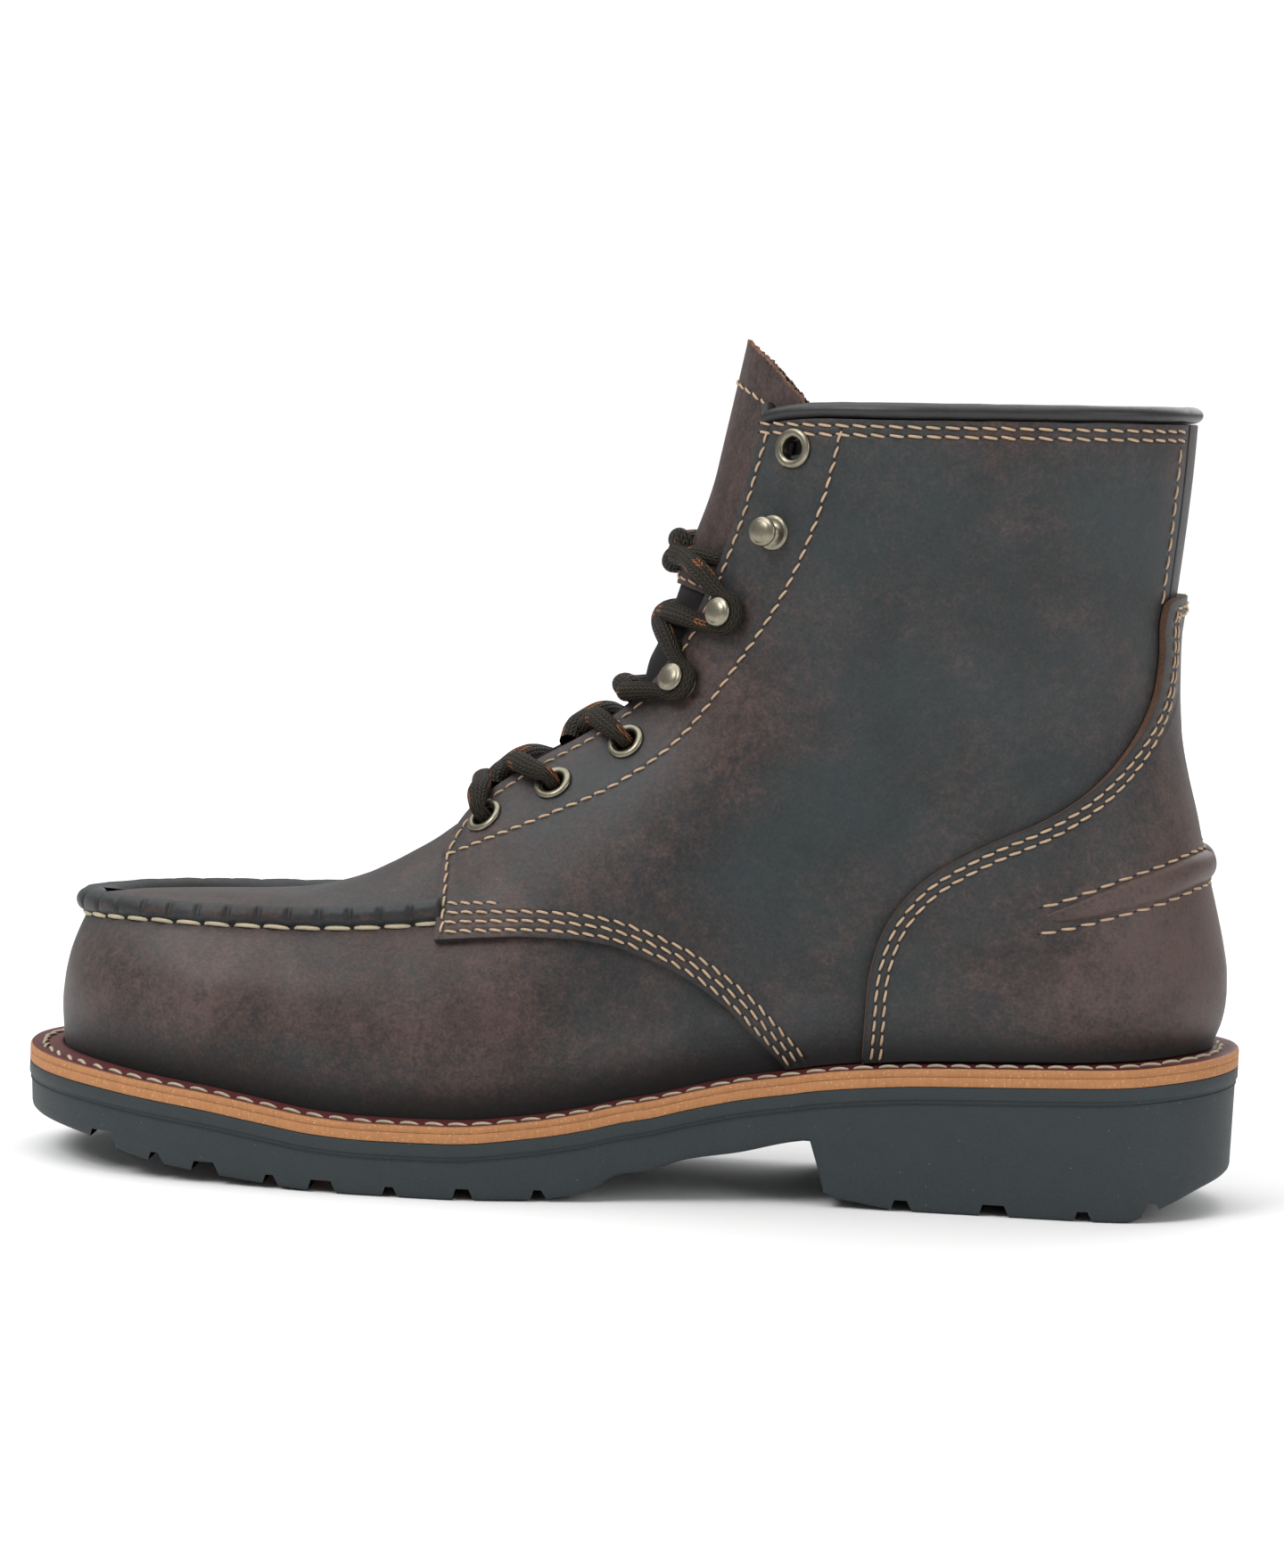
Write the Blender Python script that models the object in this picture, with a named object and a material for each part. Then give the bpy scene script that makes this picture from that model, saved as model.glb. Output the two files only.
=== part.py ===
"""Composite toe work boot, one left shoe, as CAD solids in metres with +Z up.

The toe points to -X, the lateral side faces -Y, and the ground is z = 0.
"""
import math

import bmesh
import bpy
from mathutils import Vector

# Named sizes, in metres. Tables below hold shares of the first three.
SOLE_LENGTH = 0.309
BALL_WIDTH = 0.106
COLLAR_HEIGHT = 0.198
UPPER_WALL = 0.0022
PANEL = 0.0018
LAYER_GAP = 0.0004
SEAT_GAP = 0.0003
MIDSOLE_THICK = 0.0025
INSOLE_THICK = 0.004
TONGUE_THICK = 0.003
WELT_RISE = 0.0006

HALF = SOLE_LENGTH / 2
MM = 0.001
LATERAL = -1
MEDIAL = 1

# Outsole outline: station, lateral half width, medial half width, toe swing to the medial side
SOLE_PLAN = (
    (0.00, 0.453, 0.453, 0.036),
    (0.10, 0.472, 0.481, 0.030),
    (0.20, 0.495, 0.491, 0.014),
    (0.30, 0.519, 0.486, 0.000),
    (0.36, 0.524, 0.472, 0.000),
    (0.45, 0.476, 0.420, 0.000),
    (0.56, 0.401, 0.340, 0.000),
    (0.65, 0.363, 0.321, 0.000),
    (0.75, 0.358, 0.335, 0.000),
    (0.85, 0.366, 0.352, 0.000),
    (0.93, 0.368, 0.354, 0.000),
    (1.00, 0.358, 0.349, 0.000),
)
# Keeps the middle of the whole boot's width on the origin
MIDDLE_SHIFT = 0.0007
TOE_CAP = 0.155
HEEL_CAP = 0.125
CAP_ROUNDNESS = 2.1

# Height lines of the sole: station, outsole bottom, midsole bottom, welt top
SOLE_LINES = (
    (0.0000, 0.0556, 0.1152, 0.1379),
    (0.0663, 0.0444, 0.1091, 0.1313),
    (0.1197, 0.0242, 0.1010, 0.1232),
    (0.1667, 0.0136, 0.0929, 0.1157),
    (0.2152, 0.0061, 0.0818, 0.1045),
    (0.2605, 0.0010, 0.0727, 0.0949),
    (0.3058, 0.0000, 0.0697, 0.0919),
    (0.3673, 0.0000, 0.0707, 0.0929),
    (0.4320, 0.0015, 0.0798, 0.1020),
    (0.4741, 0.0101, 0.0909, 0.1136),
    (0.5032, 0.0354, 0.1015, 0.1240),
    (0.5259, 0.0404, 0.1076, 0.1303),
    (0.5550, 0.0551, 0.1190, 0.1415),
    (0.5971, 0.0657, 0.1330, 0.1560),
    (0.6392, 0.0808, 0.1430, 0.1660),
    (0.6521, 0.0833, 0.1465, 0.1695),
    (0.6667, 0.0172, 0.1495, 0.1728),
    (0.6940, 0.0076, 0.1540, 0.1772),
    (0.7300, 0.0005, 0.1585, 0.1815),
    (0.7913, 0.0000, 0.1626, 0.1859),
    (0.9045, 0.0000, 0.1708, 0.1940),
    (0.9400, 0.0200, 0.1760, 0.1990),
    (0.9693, 0.0390, 0.1800, 0.2030),
    (1.0000, 0.0520, 0.1843, 0.2071),
)

# Side of the outsole: inset, drop below its top, both in millimetres
SOLE_SIDE = (
    (0.3, 0.2),
    (0.3, 3.2),
    (0.9, 3.7),
)
SOLE_SKIRT = 1.2
SOLE_EDGE = 2.6
SKIRT_LIFT = 1.1

# Notches between the lugs: station, share of the length it is wide, depth in millimetres
NOTCHES = (
    (0.084, 0.020, 3.0),
    (0.131, 0.010, 2.6),
    (0.172, 0.020, 3.0),
    (0.226, 0.010, 2.6),
    (0.268, 0.020, 3.0),
    (0.323, 0.010, 2.6),
    (0.381, 0.014, 3.0),
    (0.440, 0.010, 2.6),
    (0.728, 0.014, 2.8),
    (0.802, 0.021, 3.0),
    (0.873, 0.012, 2.6),
    (0.928, 0.012, 2.6),
)
NOTCH_REACH = 0.021

# Ridge of the boot in the middle plane: station, height, shoulder, roundness, half gap of the facings.
# Shoulder and half gap are in millimetres.
RIDGE = (
    (-0.0437, 0.3232, 26, 2.50, 0.0),
    (0.0469, 0.3283, 26, 2.50, 0.0),
    (0.0858, 0.3343, 26, 2.50, 0.0),
    (0.1375, 0.3384, 26, 2.50, 0.0),
    (0.1893, 0.3424, 27, 2.50, 0.0),
    (0.2282, 0.3495, 29, 2.40, 0.0),
    (0.2605, 0.3631, 36, 2.35, 0.0),
    (0.2864, 0.3808, 44, 2.30, 0.0),
    (0.3123, 0.4030, 51, 2.25, 0.0),
    (0.3366, 0.4273, 55, 2.20, 3.0),
    (0.3641, 0.4646, 54, 2.15, 8.0),
    (0.3900, 0.5000, 52, 2.10, 9.5),
    (0.4191, 0.5333, 50, 2.05, 10.0),
    (0.4547, 0.5697, 48, 2.00, 11.0),
    (0.4806, 0.6025, 48, 2.00, 12.0),
    (0.5000, 0.6364, 48, 2.00, 13.2),
    (0.5155, 0.6793, 48, 2.00, 15.0),
    (0.5285, 0.7348, 48, 2.00, 17.4),
    (0.5395, 0.7980, 48, 2.00, 19.5),
    (0.5492, 0.8687, 48, 2.00, 21.6),
    (0.5583, 0.9444, 48, 2.00, 22.8),
    (0.5670, 1.0152, 48, 2.00, 23.4),
    (0.5761, 1.0909, 48, 2.00, 24.0),
)
RIDGE_STEPS = 6

# Front and back of the upper in the middle plane: height, station
TOE_PROFILE = (
    (0.1111, 0.0307),
    (0.1515, 0.0282),
    (0.1919, 0.0265),
    (0.2222, 0.0278),
    (0.2525, 0.0311),
    (0.2828, 0.0372),
    (0.3131, 0.0456),
    (0.3384, 0.0528),
)
BACK_PROFILE = (
    (0.1717, 0.9641),
    (0.2090, 0.9641),
    (0.2222, 0.9655),
    (0.2424, 0.9700),
    (0.2677, 0.9728),
    (0.2980, 0.9722),
    (0.3283, 0.9689),
    (0.3788, 0.9608),
    (0.4343, 0.9511),
    (0.4929, 0.9421),
    (0.5505, 0.9317),
    (0.6061, 0.9246),
    (0.6616, 0.9214),
    (0.7172, 0.9207),
    (0.7778, 0.9233),
    (0.8333, 0.9265),
    (0.8889, 0.9294),
    (0.9444, 0.9317),
    (1.0101, 0.9333),
    (1.0909, 0.9346),
)
UPPER_TOE_CAP = 0.142
UPPER_HEEL_CAP = 0.136

# Body of the upper: station, reach of the welt beyond it, lateral and medial bulge,
# lateral and medial half width at the ankle, half width at the collar
BODY = (
    (0.00, 0.0774, 0.0142, 0.0142, 0.415, 0.415, 0.368),
    (0.20, 0.0770, 0.0300, 0.0300, 0.415, 0.415, 0.368),
    (0.36, 0.0755, 0.0425, 0.0425, 0.413, 0.410, 0.368),
    (0.50, 0.0717, 0.0520, 0.0660, 0.363, 0.358, 0.366),
    (0.62, 0.0792, 0.0500, 0.0620, 0.312, 0.322, 0.366),
    (0.75, 0.1019, 0.0350, 0.0400, 0.297, 0.307, 0.370),
    (0.90, 0.1060, 0.0302, 0.0302, 0.292, 0.294, 0.372),
    (1.00, 0.1085, 0.0302, 0.0302, 0.292, 0.292, 0.372),
)
BULGE_RISE = 0.085
ANKLE_HEIGHT = 0.505

# Seam of the plug: station, height
PLUG_SEAM = (
    (0.0456, 0.3096),
    (0.0955, 0.3131),
    (0.1828, 0.3162),
    (0.2314, 0.3182),
    (0.2816, 0.3242),
    (0.3317, 0.3343),
    (0.3453, 0.3379),
)
TOE_GROUP_END = 0.170
POLE_STATION = 0.118
THROAT_STATION = 0.3398

# Columns of the upper and of a quarter between throat and heel:
# station at the welt, ridge place of the facing edge above it
FACING_COLUMNS = (
    (0.3479, 9.40),
    (0.3760, 10.20),
    (0.4060, 11.10),
    (0.4340, 12.00),
    (0.4600, 13.00),
    (0.4850, 14.00),
    (0.5080, 15.00),
    (0.5320, 16.00),
    (0.5570, 17.10),
    (0.5830, 18.30),
    (0.6080, 19.40),
    (0.6330, 20.45),
)
# Columns under the collar: station at the welt, station at the collar
COLLAR_COLUMNS = (
    (0.6720, 0.6390),
    (0.7180, 0.6860),
    (0.7660, 0.7360),
    (0.8172, 0.7848),
)
# Collar line: station, height of the leather edge
COLLAR_LINE = ((0.5940, 0.9797), (0.9330, 0.9949))
# Turns of the columns round the heel, in radians from the middle of the back
HEEL_TURNS = (1.30, 1.03, 0.78, 0.57, 0.40, 0.345, 0.17, 0.0)
QUARTER_BACK_TURN = 0.40
BACKSTAY_TURN = 0.345
# Heights of the rows round the heel, over the panels' foot
HEEL_LEVELS = (0.2500, 0.3000, 0.3700, 0.4600, 0.5900, 0.7800)

# Vamp seam, the lower edge of a quarter: station, height
VAMP_SEAM = (
    (0.3495, 0.3106),
    (0.3854, 0.3177),
    (0.4201, 0.3232),
    (0.4557, 0.3242),
    (0.4841, 0.3202),
    (0.5149, 0.3056),
    (0.5385, 0.2899),
    (0.5718, 0.2566),
    (0.5974, 0.2227),
    (0.6181, 0.1909),
    (0.6290, 0.1700),
    (0.6500, 0.1200),
)

# Front edge of the counter: height, station
COUNTER_FRONT = (
    (0.1700, 0.6903),
    (0.2333, 0.6903),
    (0.3061, 0.6939),
    (0.3515, 0.7029),
    (0.3859, 0.7162),
    (0.4146, 0.7330),
    (0.4444, 0.7602),
    (0.4687, 0.7887),
    (0.4929, 0.8214),
    (0.5227, 0.8502),
    (0.5571, 0.8722),
    (0.6015, 0.8909),
    (0.6455, 0.9022),
    (0.7005, 0.9065),
    (0.7561, 0.9063),
    (0.7900, 0.9084),
)
# Top edge of the counter: station, height
COUNTER_TOP = ((0.9084, 0.7717), (0.9260, 0.7823))

# Heel kick: share of the way from the back to its front end, height, share of its full section
KICK = (
    (0.00, 0.4362, 1.00),
    (0.07, 0.4343, 1.00),
    (0.31, 0.4192, 1.00),
    (0.57, 0.4030, 0.85),
    (0.83, 0.3848, 0.60),
    (1.00, 0.3747, 0.40),
)
KICK_END = 0.8269
KICK_SECTION = ((-4.0, 0.9), (-3.2, 2.1), (-1.0, 3.0), (1.4, 2.9), (3.0, 2.1), (3.4, 0.9))
ROLL_SECTION = ((-0.6, 0.4), (-1.0, 1.8), (0.2, 3.5), (2.1, 4.2), (4.1, 3.6), (5.2, 1.9), (5.0, 0.4))

# Eyelets and hooks of one side: station, height, both where the photo shows their middle
EYELETS = ((0.3773, 0.4626), (0.4324, 0.5106), (0.4896, 0.5672), (0.6136, 0.9439))
HOOKS = ((0.5324, 0.6434), (0.5680, 0.7333), (0.6003, 0.8384))
# Turned profiles, radius and height over the panel in millimetres
EYELET_PROFILE = ((2.4, -4.6), (2.85, -4.6), (2.85, 0.3), (5.0, 0.3), (4.7, 0.9), (3.4, 1.3), (2.4, 0.7))
HOOK_PROFILE = ((0.0, 0.9), (4.1, 0.9), (3.8, 1.5), (1.7, 1.7), (1.6, 5.4), (4.0, 5.6), (4.15, 6.3), (2.6, 7.6), (0.0, 8.0))
EYELET_HOLE = 3.25
TURNED_SIDES = 8

# Tongue: ridge place, half width in millimetres
TONGUE = (
    (8.7, 15.0),
    (10.0, 18.0),
    (12.0, 22.0),
    (14.0, 25.5),
    (16.0, 28.5),
    (18.0, 30.0),
    (21.7, 31.0),
)
TONGUE_ROWS = 12
TONGUE_COLUMNS = 8
TONGUE_UNDER = 0.0036


# Lace. A bar crosses over the first pair of eyelets, then each strand comes up beside its own facing's
# edge, crosses to the far side and dives into the next eyelet, or wraps the next hook.
LACE_RADIUS = 2.3
LACE_IN_HOLE = 1.7
LACE_SIDES = 6
LACE_STEPS = 1
EYELET_PLACES = (10.55, 12.45, 14.45)
HOOK_PLACES = (15.95, 17.35)


def smooth(share):
    share = min(max(share, 0.0), 1.0)
    return share * share * (3 - 2 * share)


def slope(rows, index, column):
    """Tangent of a column at a row, flat at a turn so that the curve doesn't overshoot."""
    steps = []
    for first in (index - 1, index):
        if 0 <= first < len(rows) - 1:
            rise = rows[first + 1][column] - rows[first][column]
            steps.append(rise / (rows[first + 1][0] - rows[first][0]))
    if len(steps) == 1:
        return steps[0]
    if steps[0] * steps[1] <= 0:
        return 0.0
    return 2 * steps[0] * steps[1] / (steps[0] + steps[1])


def along(rows, key, column=1):
    """Smooth value of a table's column at a key in its first column."""
    if key <= rows[0][0]:
        return rows[0][column]
    if key >= rows[-1][0]:
        return rows[-1][column]
    index = 0
    while key > rows[index + 1][0]:
        index += 1
    span = rows[index + 1][0] - rows[index][0]
    t = (key - rows[index][0]) / span
    start = rows[index][column]
    end = rows[index + 1][column]
    leave = slope(rows, index, column) * span
    arrive = slope(rows, index + 1, column) * span
    cubic = 2 * start - 2 * end + leave + arrive
    square = -3 * start + 3 * end - 2 * leave - arrive
    return start + t * (leave + t * (square + t * cubic))


def station_x(station):
    return station * SOLE_LENGTH - HALF


def x_station(x):
    return (x + HALF) / SOLE_LENGTH


def round_off(share, roundness):
    """Height of a rounded end at a share of its depth."""
    if share <= 0:
        return 0.0
    return (1 - (1 - min(share, 1.0)) ** roundness) ** (1 / roundness)


def sole_height(x, column):
    return along(SOLE_LINES, x_station(x), column) * COLLAR_HEIGHT


def midsole_bottom(x):
    return sole_height(x, 2)


def welt_top(x):
    return sole_height(x, 3)


def feather(x):
    """Height where the upper's wall starts, on the midsole."""
    return midsole_bottom(x) + MIDSOLE_THICK + LAYER_GAP


def panel_foot(x):
    """Height where an outer panel starts, over the welt."""
    return welt_top(x) + WELT_RISE + LAYER_GAP


def collar_height(x):
    first, last = COLLAR_LINE
    share = (x_station(x) - first[0]) / (last[0] - first[0])
    return (first[1] + share * (last[1] - first[1])) * COLLAR_HEIGHT


def axis_y(x):
    return MIDDLE_SHIFT + along(SOLE_PLAN, x_station(x), 3) * BALL_WIDTH


def plan_width(x, side):
    return along(SOLE_PLAN, x_station(x), 1 if side == LATERAL else 2) * BALL_WIDTH


def sole_half(x, side):
    """Half width of the outsole, with its rounded ends."""
    toe = round_off((x + HALF) / (TOE_CAP * SOLE_LENGTH), CAP_ROUNDNESS)
    heel = round_off((HALF - x) / (HEEL_CAP * SOLE_LENGTH), CAP_ROUNDNESS)
    return plan_width(x, side) * toe * heel


def ridge_samples():
    """Points along the ridge: place, x, z, shoulder, roundness, half gap."""
    rows = []
    count = len(RIDGE)
    for first in range(count - 1):
        around = [RIDGE[min(max(first + step, 0), count - 1)] for step in (-1, 0, 1, 2)]
        for step in range(RIDGE_STEPS):
            t = step / RIDGE_STEPS
            values = []
            for column in range(5):
                a, b, c, d = (row[column] for row in around)
                curve = b + 0.5 * t * (c - a + t * (2 * a - 5 * b + 4 * c - d + t * (3 * (b - c) + d - a)))
                values.append(curve if column < 2 else b + t * (c - b))
            rows.append((first + t, values))
    rows.append((count - 1.0, list(RIDGE[-1])))
    samples = []
    for place, (station, height, shoulder, roundness, gap) in rows:
        samples.append((place, station_x(station), height * COLLAR_HEIGHT, shoulder * MM, roundness, gap * MM))
    return samples


RIDGE_LINE = ridge_samples()


def ridge_at(place):
    """x, z, shoulder, roundness, half gap and the inward direction at a ridge place."""
    position = min(max(place, 0.0), len(RIDGE) - 1.001) * RIDGE_STEPS
    first = int(position)
    t = position - first
    a = RIDGE_LINE[first]
    b = RIDGE_LINE[first + 1]
    values = [a[k] + t * (b[k] - a[k]) for k in range(1, 6)]
    before = RIDGE_LINE[max(first - 1, 0)]
    after = RIDGE_LINE[min(first + 2, len(RIDGE_LINE) - 1)]
    run = Vector((after[1] - before[1], after[2] - before[2])).normalized()
    return values + [(run.y, -run.x)]


def ridge_depth(x, z):
    """Depth below the ridge, with the shoulder and roundness there."""
    best = None
    for index in range(len(RIDGE_LINE) - 1):
        a = RIDGE_LINE[index]
        b = RIDGE_LINE[index + 1]
        run_x = b[1] - a[1]
        run_z = b[2] - a[2]
        t = ((x - a[1]) * run_x + (z - a[2]) * run_z) / (run_x * run_x + run_z * run_z)
        t = min(max(t, 0.0), 1.0)
        off_x = x - a[1] - t * run_x
        off_z = z - a[2] - t * run_z
        square = off_x * off_x + off_z * off_z
        if best is None or square < best[0]:
            inside = off_x * run_z - off_z * run_x
            best = (square, inside, a[3] + t * (b[3] - a[3]), a[4] + t * (b[4] - a[4]))
    square, inside, shoulder, roundness = best
    if inside <= 0:
        return 0.0, shoulder, roundness
    return math.sqrt(square), shoulder, roundness


def toe_x(z):
    return station_x(along(TOE_PROFILE, z / COLLAR_HEIGHT))


def back_x(z):
    return station_x(along(BACK_PROFILE, z / COLLAR_HEIGHT))


def body_half(x, z, side):
    """Half width of the upper's body, without toe, heel and ridge."""
    station = x_station(x)
    near = 0 if side == LATERAL else 1
    low = plan_width(x, side) - along(BODY, station, 1) * BALL_WIDTH
    bulge = along(BODY, station, 2 + near) * BALL_WIDTH
    ankle = along(BODY, station, 4 + near) * BALL_WIDTH
    collar = along(BODY, station, 6) * BALL_WIDTH
    start = panel_foot(x)
    rise = min(max((z - start) / (BULGE_RISE * COLLAR_HEIGHT), 0.0), 1.0)
    width = low + bulge * smooth(rise)
    ankle_z = ANKLE_HEIGHT * COLLAR_HEIGHT
    width += (ankle - width) * smooth((z - start - 0.008) / (ankle_z - start - 0.008))
    width += (collar - width) * smooth((z - ankle_z) / (COLLAR_HEIGHT - ankle_z))
    return width


HALF_WIDTHS = {}


def half_width(x, z, side):
    """Half width of the upper at a place in the side view."""
    key = (round(x, 7), round(z, 7), side)
    if key not in HALF_WIDTHS:
        toe = round_off((x - toe_x(z)) / (UPPER_TOE_CAP * SOLE_LENGTH), CAP_ROUNDNESS)
        heel = round_off((back_x(z) - x) / (UPPER_HEEL_CAP * SOLE_LENGTH), CAP_ROUNDNESS)
        width = toe * heel
        if width > 0:
            depth, shoulder, roundness = ridge_depth(x, z)
            width *= round_off(depth / shoulder, roundness)
        if width > 0:
            width *= body_half(x, z, side)
        HALF_WIDTHS[key] = width
    return HALF_WIDTHS[key]


def is_mix(place):
    return isinstance(place[0], tuple)


def spot(place):
    """x and z of a place; a mix of two places lies between them."""
    if is_mix(place):
        first, last, share = place
        a = spot(first)
        b = spot(last)
        return (a[0] + share * (b[0] - a[0]), a[1] + share * (b[1] - a[1]))
    return place[:2]


def lifted(place, lift):
    """Point of the boot's surface at a place (x, z, side), moved out by lift. Side 0 is the middle plane."""
    if is_mix(place):
        return lifted(place[0], lift).lerp(lifted(place[1], lift), place[2])
    x, z, side = place
    step = 0.0003
    slope_side = side or MEDIAL
    swing = (axis_y(x + step) - axis_y(x - step)) / (2 * step)
    change_x = half_width(x + step, z, slope_side) - half_width(x - step, z, slope_side)
    change_z = half_width(x, z + step, slope_side) - half_width(x, z - step, slope_side)
    by_x = swing + slope_side * change_x / (2 * step)
    by_z = slope_side * change_z / (2 * step)
    normal = Vector((-slope_side * by_x, slope_side, -slope_side * by_z))
    width = half_width(x, z, side) if side else 0.0
    if not side:
        normal.y = 0
    normal.normalize()
    return Vector((x, axis_y(x) + side * width, z)) + lift * normal


def normal_of(place):
    return (lifted(place, MM) - lifted(place, 0.0)) / MM


def ridge_z(x):
    """Height of the ridge over the toe and vamp."""
    index = 0
    while RIDGE_LINE[index + 1][1] < x:
        index += 1
    a = RIDGE_LINE[index]
    b = RIDGE_LINE[index + 1]
    return a[2] + (x - a[1]) / (b[1] - a[1]) * (b[2] - a[2])


def roof_place(x, width, side):
    """Place on the roof with a given half width, found by halving."""
    if width < 1e-6:
        return (x, ridge_z(x), 0)
    low = along(PLUG_SEAM, x_station(x)) * COLLAR_HEIGHT - 0.002
    high = 0.12
    for _ in range(30):
        middle = (low + high) / 2
        if half_width(x, middle, side) > width:
            low = middle
        else:
            high = middle
    return (x, low, side)


def gap_place(place, width, side):
    """Place beside the ridge with a given half width, found by halving."""
    x, z, shoulder, _, _, inward = ridge_at(place)
    low = 0.0
    high = shoulder
    for _ in range(30):
        middle = (low + high) / 2
        if half_width(x + inward[0] * middle, z + inward[1] * middle, side) < width:
            low = middle
        else:
            high = middle
    return (x + inward[0] * high, z + inward[1] * high, side)


def edge_place(place, side):
    """Place of the facing's edge."""
    return gap_place(place, ridge_at(place)[4], side)


def place_shown(x, z, side, lift):
    """Place whose lifted point stands at x and z in the side view."""
    place = (x, z, side)
    for _ in range(5):
        off = lift * normal_of(place)
        place = (x - off.x, z - off.z, side)
    return place


def heel_seam_x(z):
    """Where the rounded heel group starts, in the side view."""
    foot = station_x(COLLAR_COLUMNS[-1][0])
    top = station_x(COLLAR_COLUMNS[-1][1])
    share = (z - 0.036) / (COLLAR_HEIGHT - 0.036)
    return foot + share * (top - foot)


def heel_place(turn, z, side, front=None):
    """Place on the rounded heel; a turn of 0 is the middle of the back."""
    back = back_x(z)
    reach = back - (heel_seam_x(z) if front is None else front)
    return (back - reach * (1 - math.cos(turn)), z, side if turn > 0 else 0)


def toe_place(turn, z, side):
    """Place on the rounded toe; a turn of 0 is the middle of the front."""
    front = toe_x(z)
    x = front + (station_x(TOE_GROUP_END) - front) * (1 - math.cos(turn))
    return (x, z, side if turn > 0 else 0)


def spread(first, last, count):
    return [first + (last - first) * index / count for index in range(count + 1)]


LOW_ROWS = 4
HIGH_ROWS = 3
SEAM_ROW = LOW_ROWS + 1
TOE_COLUMNS = 7
VAMP_COLUMNS = 4


def wall_heights(x, top):
    """Heights of the wall's lower rows: feather, foot of the panels, then even steps."""
    return [feather(x)] + spread(panel_foot(x), top, LOW_ROWS)


def straight_column(foot_x, top, side, split):
    """Places on a straight line of the side view, in two blocks that meet at a split."""
    start = feather(foot_x)
    first = (panel_foot(foot_x) - start) / (top[1] - start)
    shares = [0.0] + spread(first, split, LOW_ROWS) + spread(split, 1.0, HIGH_ROWS)[1:]
    return [(foot_x + s * (top[0] - foot_x), start + s * (top[1] - start), side) for s in shares]


def toe_and_vamp_columns(side):
    """Columns from the middle of the toe to the throat: wall up to the plug's seam, then its roof."""
    columns = []
    middles = []
    for index in range(TOE_COLUMNS + 1):
        turn = math.pi / 2 * index / TOE_COLUMNS
        foot_x = toe_place(turn, 0.025, side)[0]
        seam_x = toe_place(turn, 0.0615, side)[0]
        seam = along(PLUG_SEAM, x_station(seam_x)) * COLLAR_HEIGHT
        columns.append([toe_place(turn, z, side) for z in wall_heights(foot_x, seam)])
        middles.append(station_x(POLE_STATION))
    vamp = spread(station_x(TOE_GROUP_END), station_x(THROAT_STATION), VAMP_COLUMNS)[1:]
    for index, x in enumerate(vamp):
        seam = along(PLUG_SEAM, x_station(x)) * COLLAR_HEIGHT
        columns.append([(x, z, side) for z in wall_heights(x, seam)])
        share = (index + 1) / VAMP_COLUMNS
        middles.append(station_x(POLE_STATION + share * (THROAT_STATION - POLE_STATION)))
    for column, middle in zip(columns, middles):
        x, z, on_side = column[-1]
        width = half_width(x, z, side) if on_side else 0.0
        for share in spread(0, 1, HIGH_ROWS)[1:]:
            column.append(roof_place(x + share * (middle - x), width * (1 - share), side))
    return columns


def shaft_columns(side):
    """Columns from the throat along the facing and the collar to the middle of the back."""
    columns = []
    for index, (station, ridge_place) in enumerate(FACING_COLUMNS):
        top = edge_place(ridge_place, side)
        split = 0.72 - 0.34 * smooth(index / 10)
        columns.append(straight_column(station_x(station), top, side, split))
    for station, collar_station in COLLAR_COLUMNS:
        top_x = station_x(collar_station)
        columns.append(straight_column(station_x(station), (top_x, collar_height(top_x)), side, 0.37))
    for turn in HEEL_TURNS:
        foot_x = heel_place(turn, 0.041, side)[0]
        top = collar_height(heel_place(turn, 0.196, side)[0])
        levels = [level * COLLAR_HEIGHT for level in HEEL_LEVELS]
        heights = [feather(foot_x), panel_foot(foot_x)] + levels + [top]
        columns.append([heel_place(turn, z, side) for z in heights])
    return columns


def grid_cells(columns, first_row=0):
    """Triangles of three places between neighbouring columns."""
    cells = []
    for left, right in zip(columns, columns[1:]):
        for row in range(first_row, len(left) - 1):
            cells.append((left[row], right[row], right[row + 1]))
            cells.append((left[row], right[row + 1], left[row + 1]))
    return cells


def clipped(cells, keep):
    """Parts of the cells where keep(x, z) is positive; new corners stand on the cells' edges."""
    kept = []
    for cell in cells:
        values = [keep(*spot(place)) for place in cell]
        polygon = []
        count = len(cell)
        for index in range(count):
            after = (index + 1) % count
            if values[index] >= 0:
                polygon.append(cell[index])
            if (values[index] >= 0) != (values[after] >= 0):
                ends = sorted(((cell[index], values[index]), (cell[after], values[after])), key=repr)
                share = ends[0][1] / (ends[0][1] - ends[1][1])
                polygon.append((ends[0][0], ends[1][0], share))
        if len(polygon) > 2:
            kept.append(tuple(polygon))
    return kept


def new_object(name, mesh):
    shape = bpy.data.objects.new(name, mesh)
    bpy.context.scene.collection.objects.link(shape)
    return shape


def solid(name, faces):
    """Object from faces of points, with points that coincide joined."""
    index_of = {}
    points = []
    polygons = []
    for face in faces:
        polygon = []
        for point in face:
            key = tuple(round(value * 1e5) for value in point)
            if key not in index_of:
                index_of[key] = len(points)
                points.append(tuple(point))
            if index_of[key] not in polygon:
                polygon.append(index_of[key])
        if len(polygon) > 2:
            polygons.append(polygon)
    mesh = bpy.data.meshes.new(name)
    mesh.from_pydata(points, [], polygons)
    work = bmesh.new()
    work.from_mesh(mesh)
    bmesh.ops.triangulate(work, faces=work.faces)
    bmesh.ops.recalc_face_normals(work, faces=work.faces)
    work.to_mesh(mesh)
    work.free()
    return new_object(name, mesh)


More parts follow.
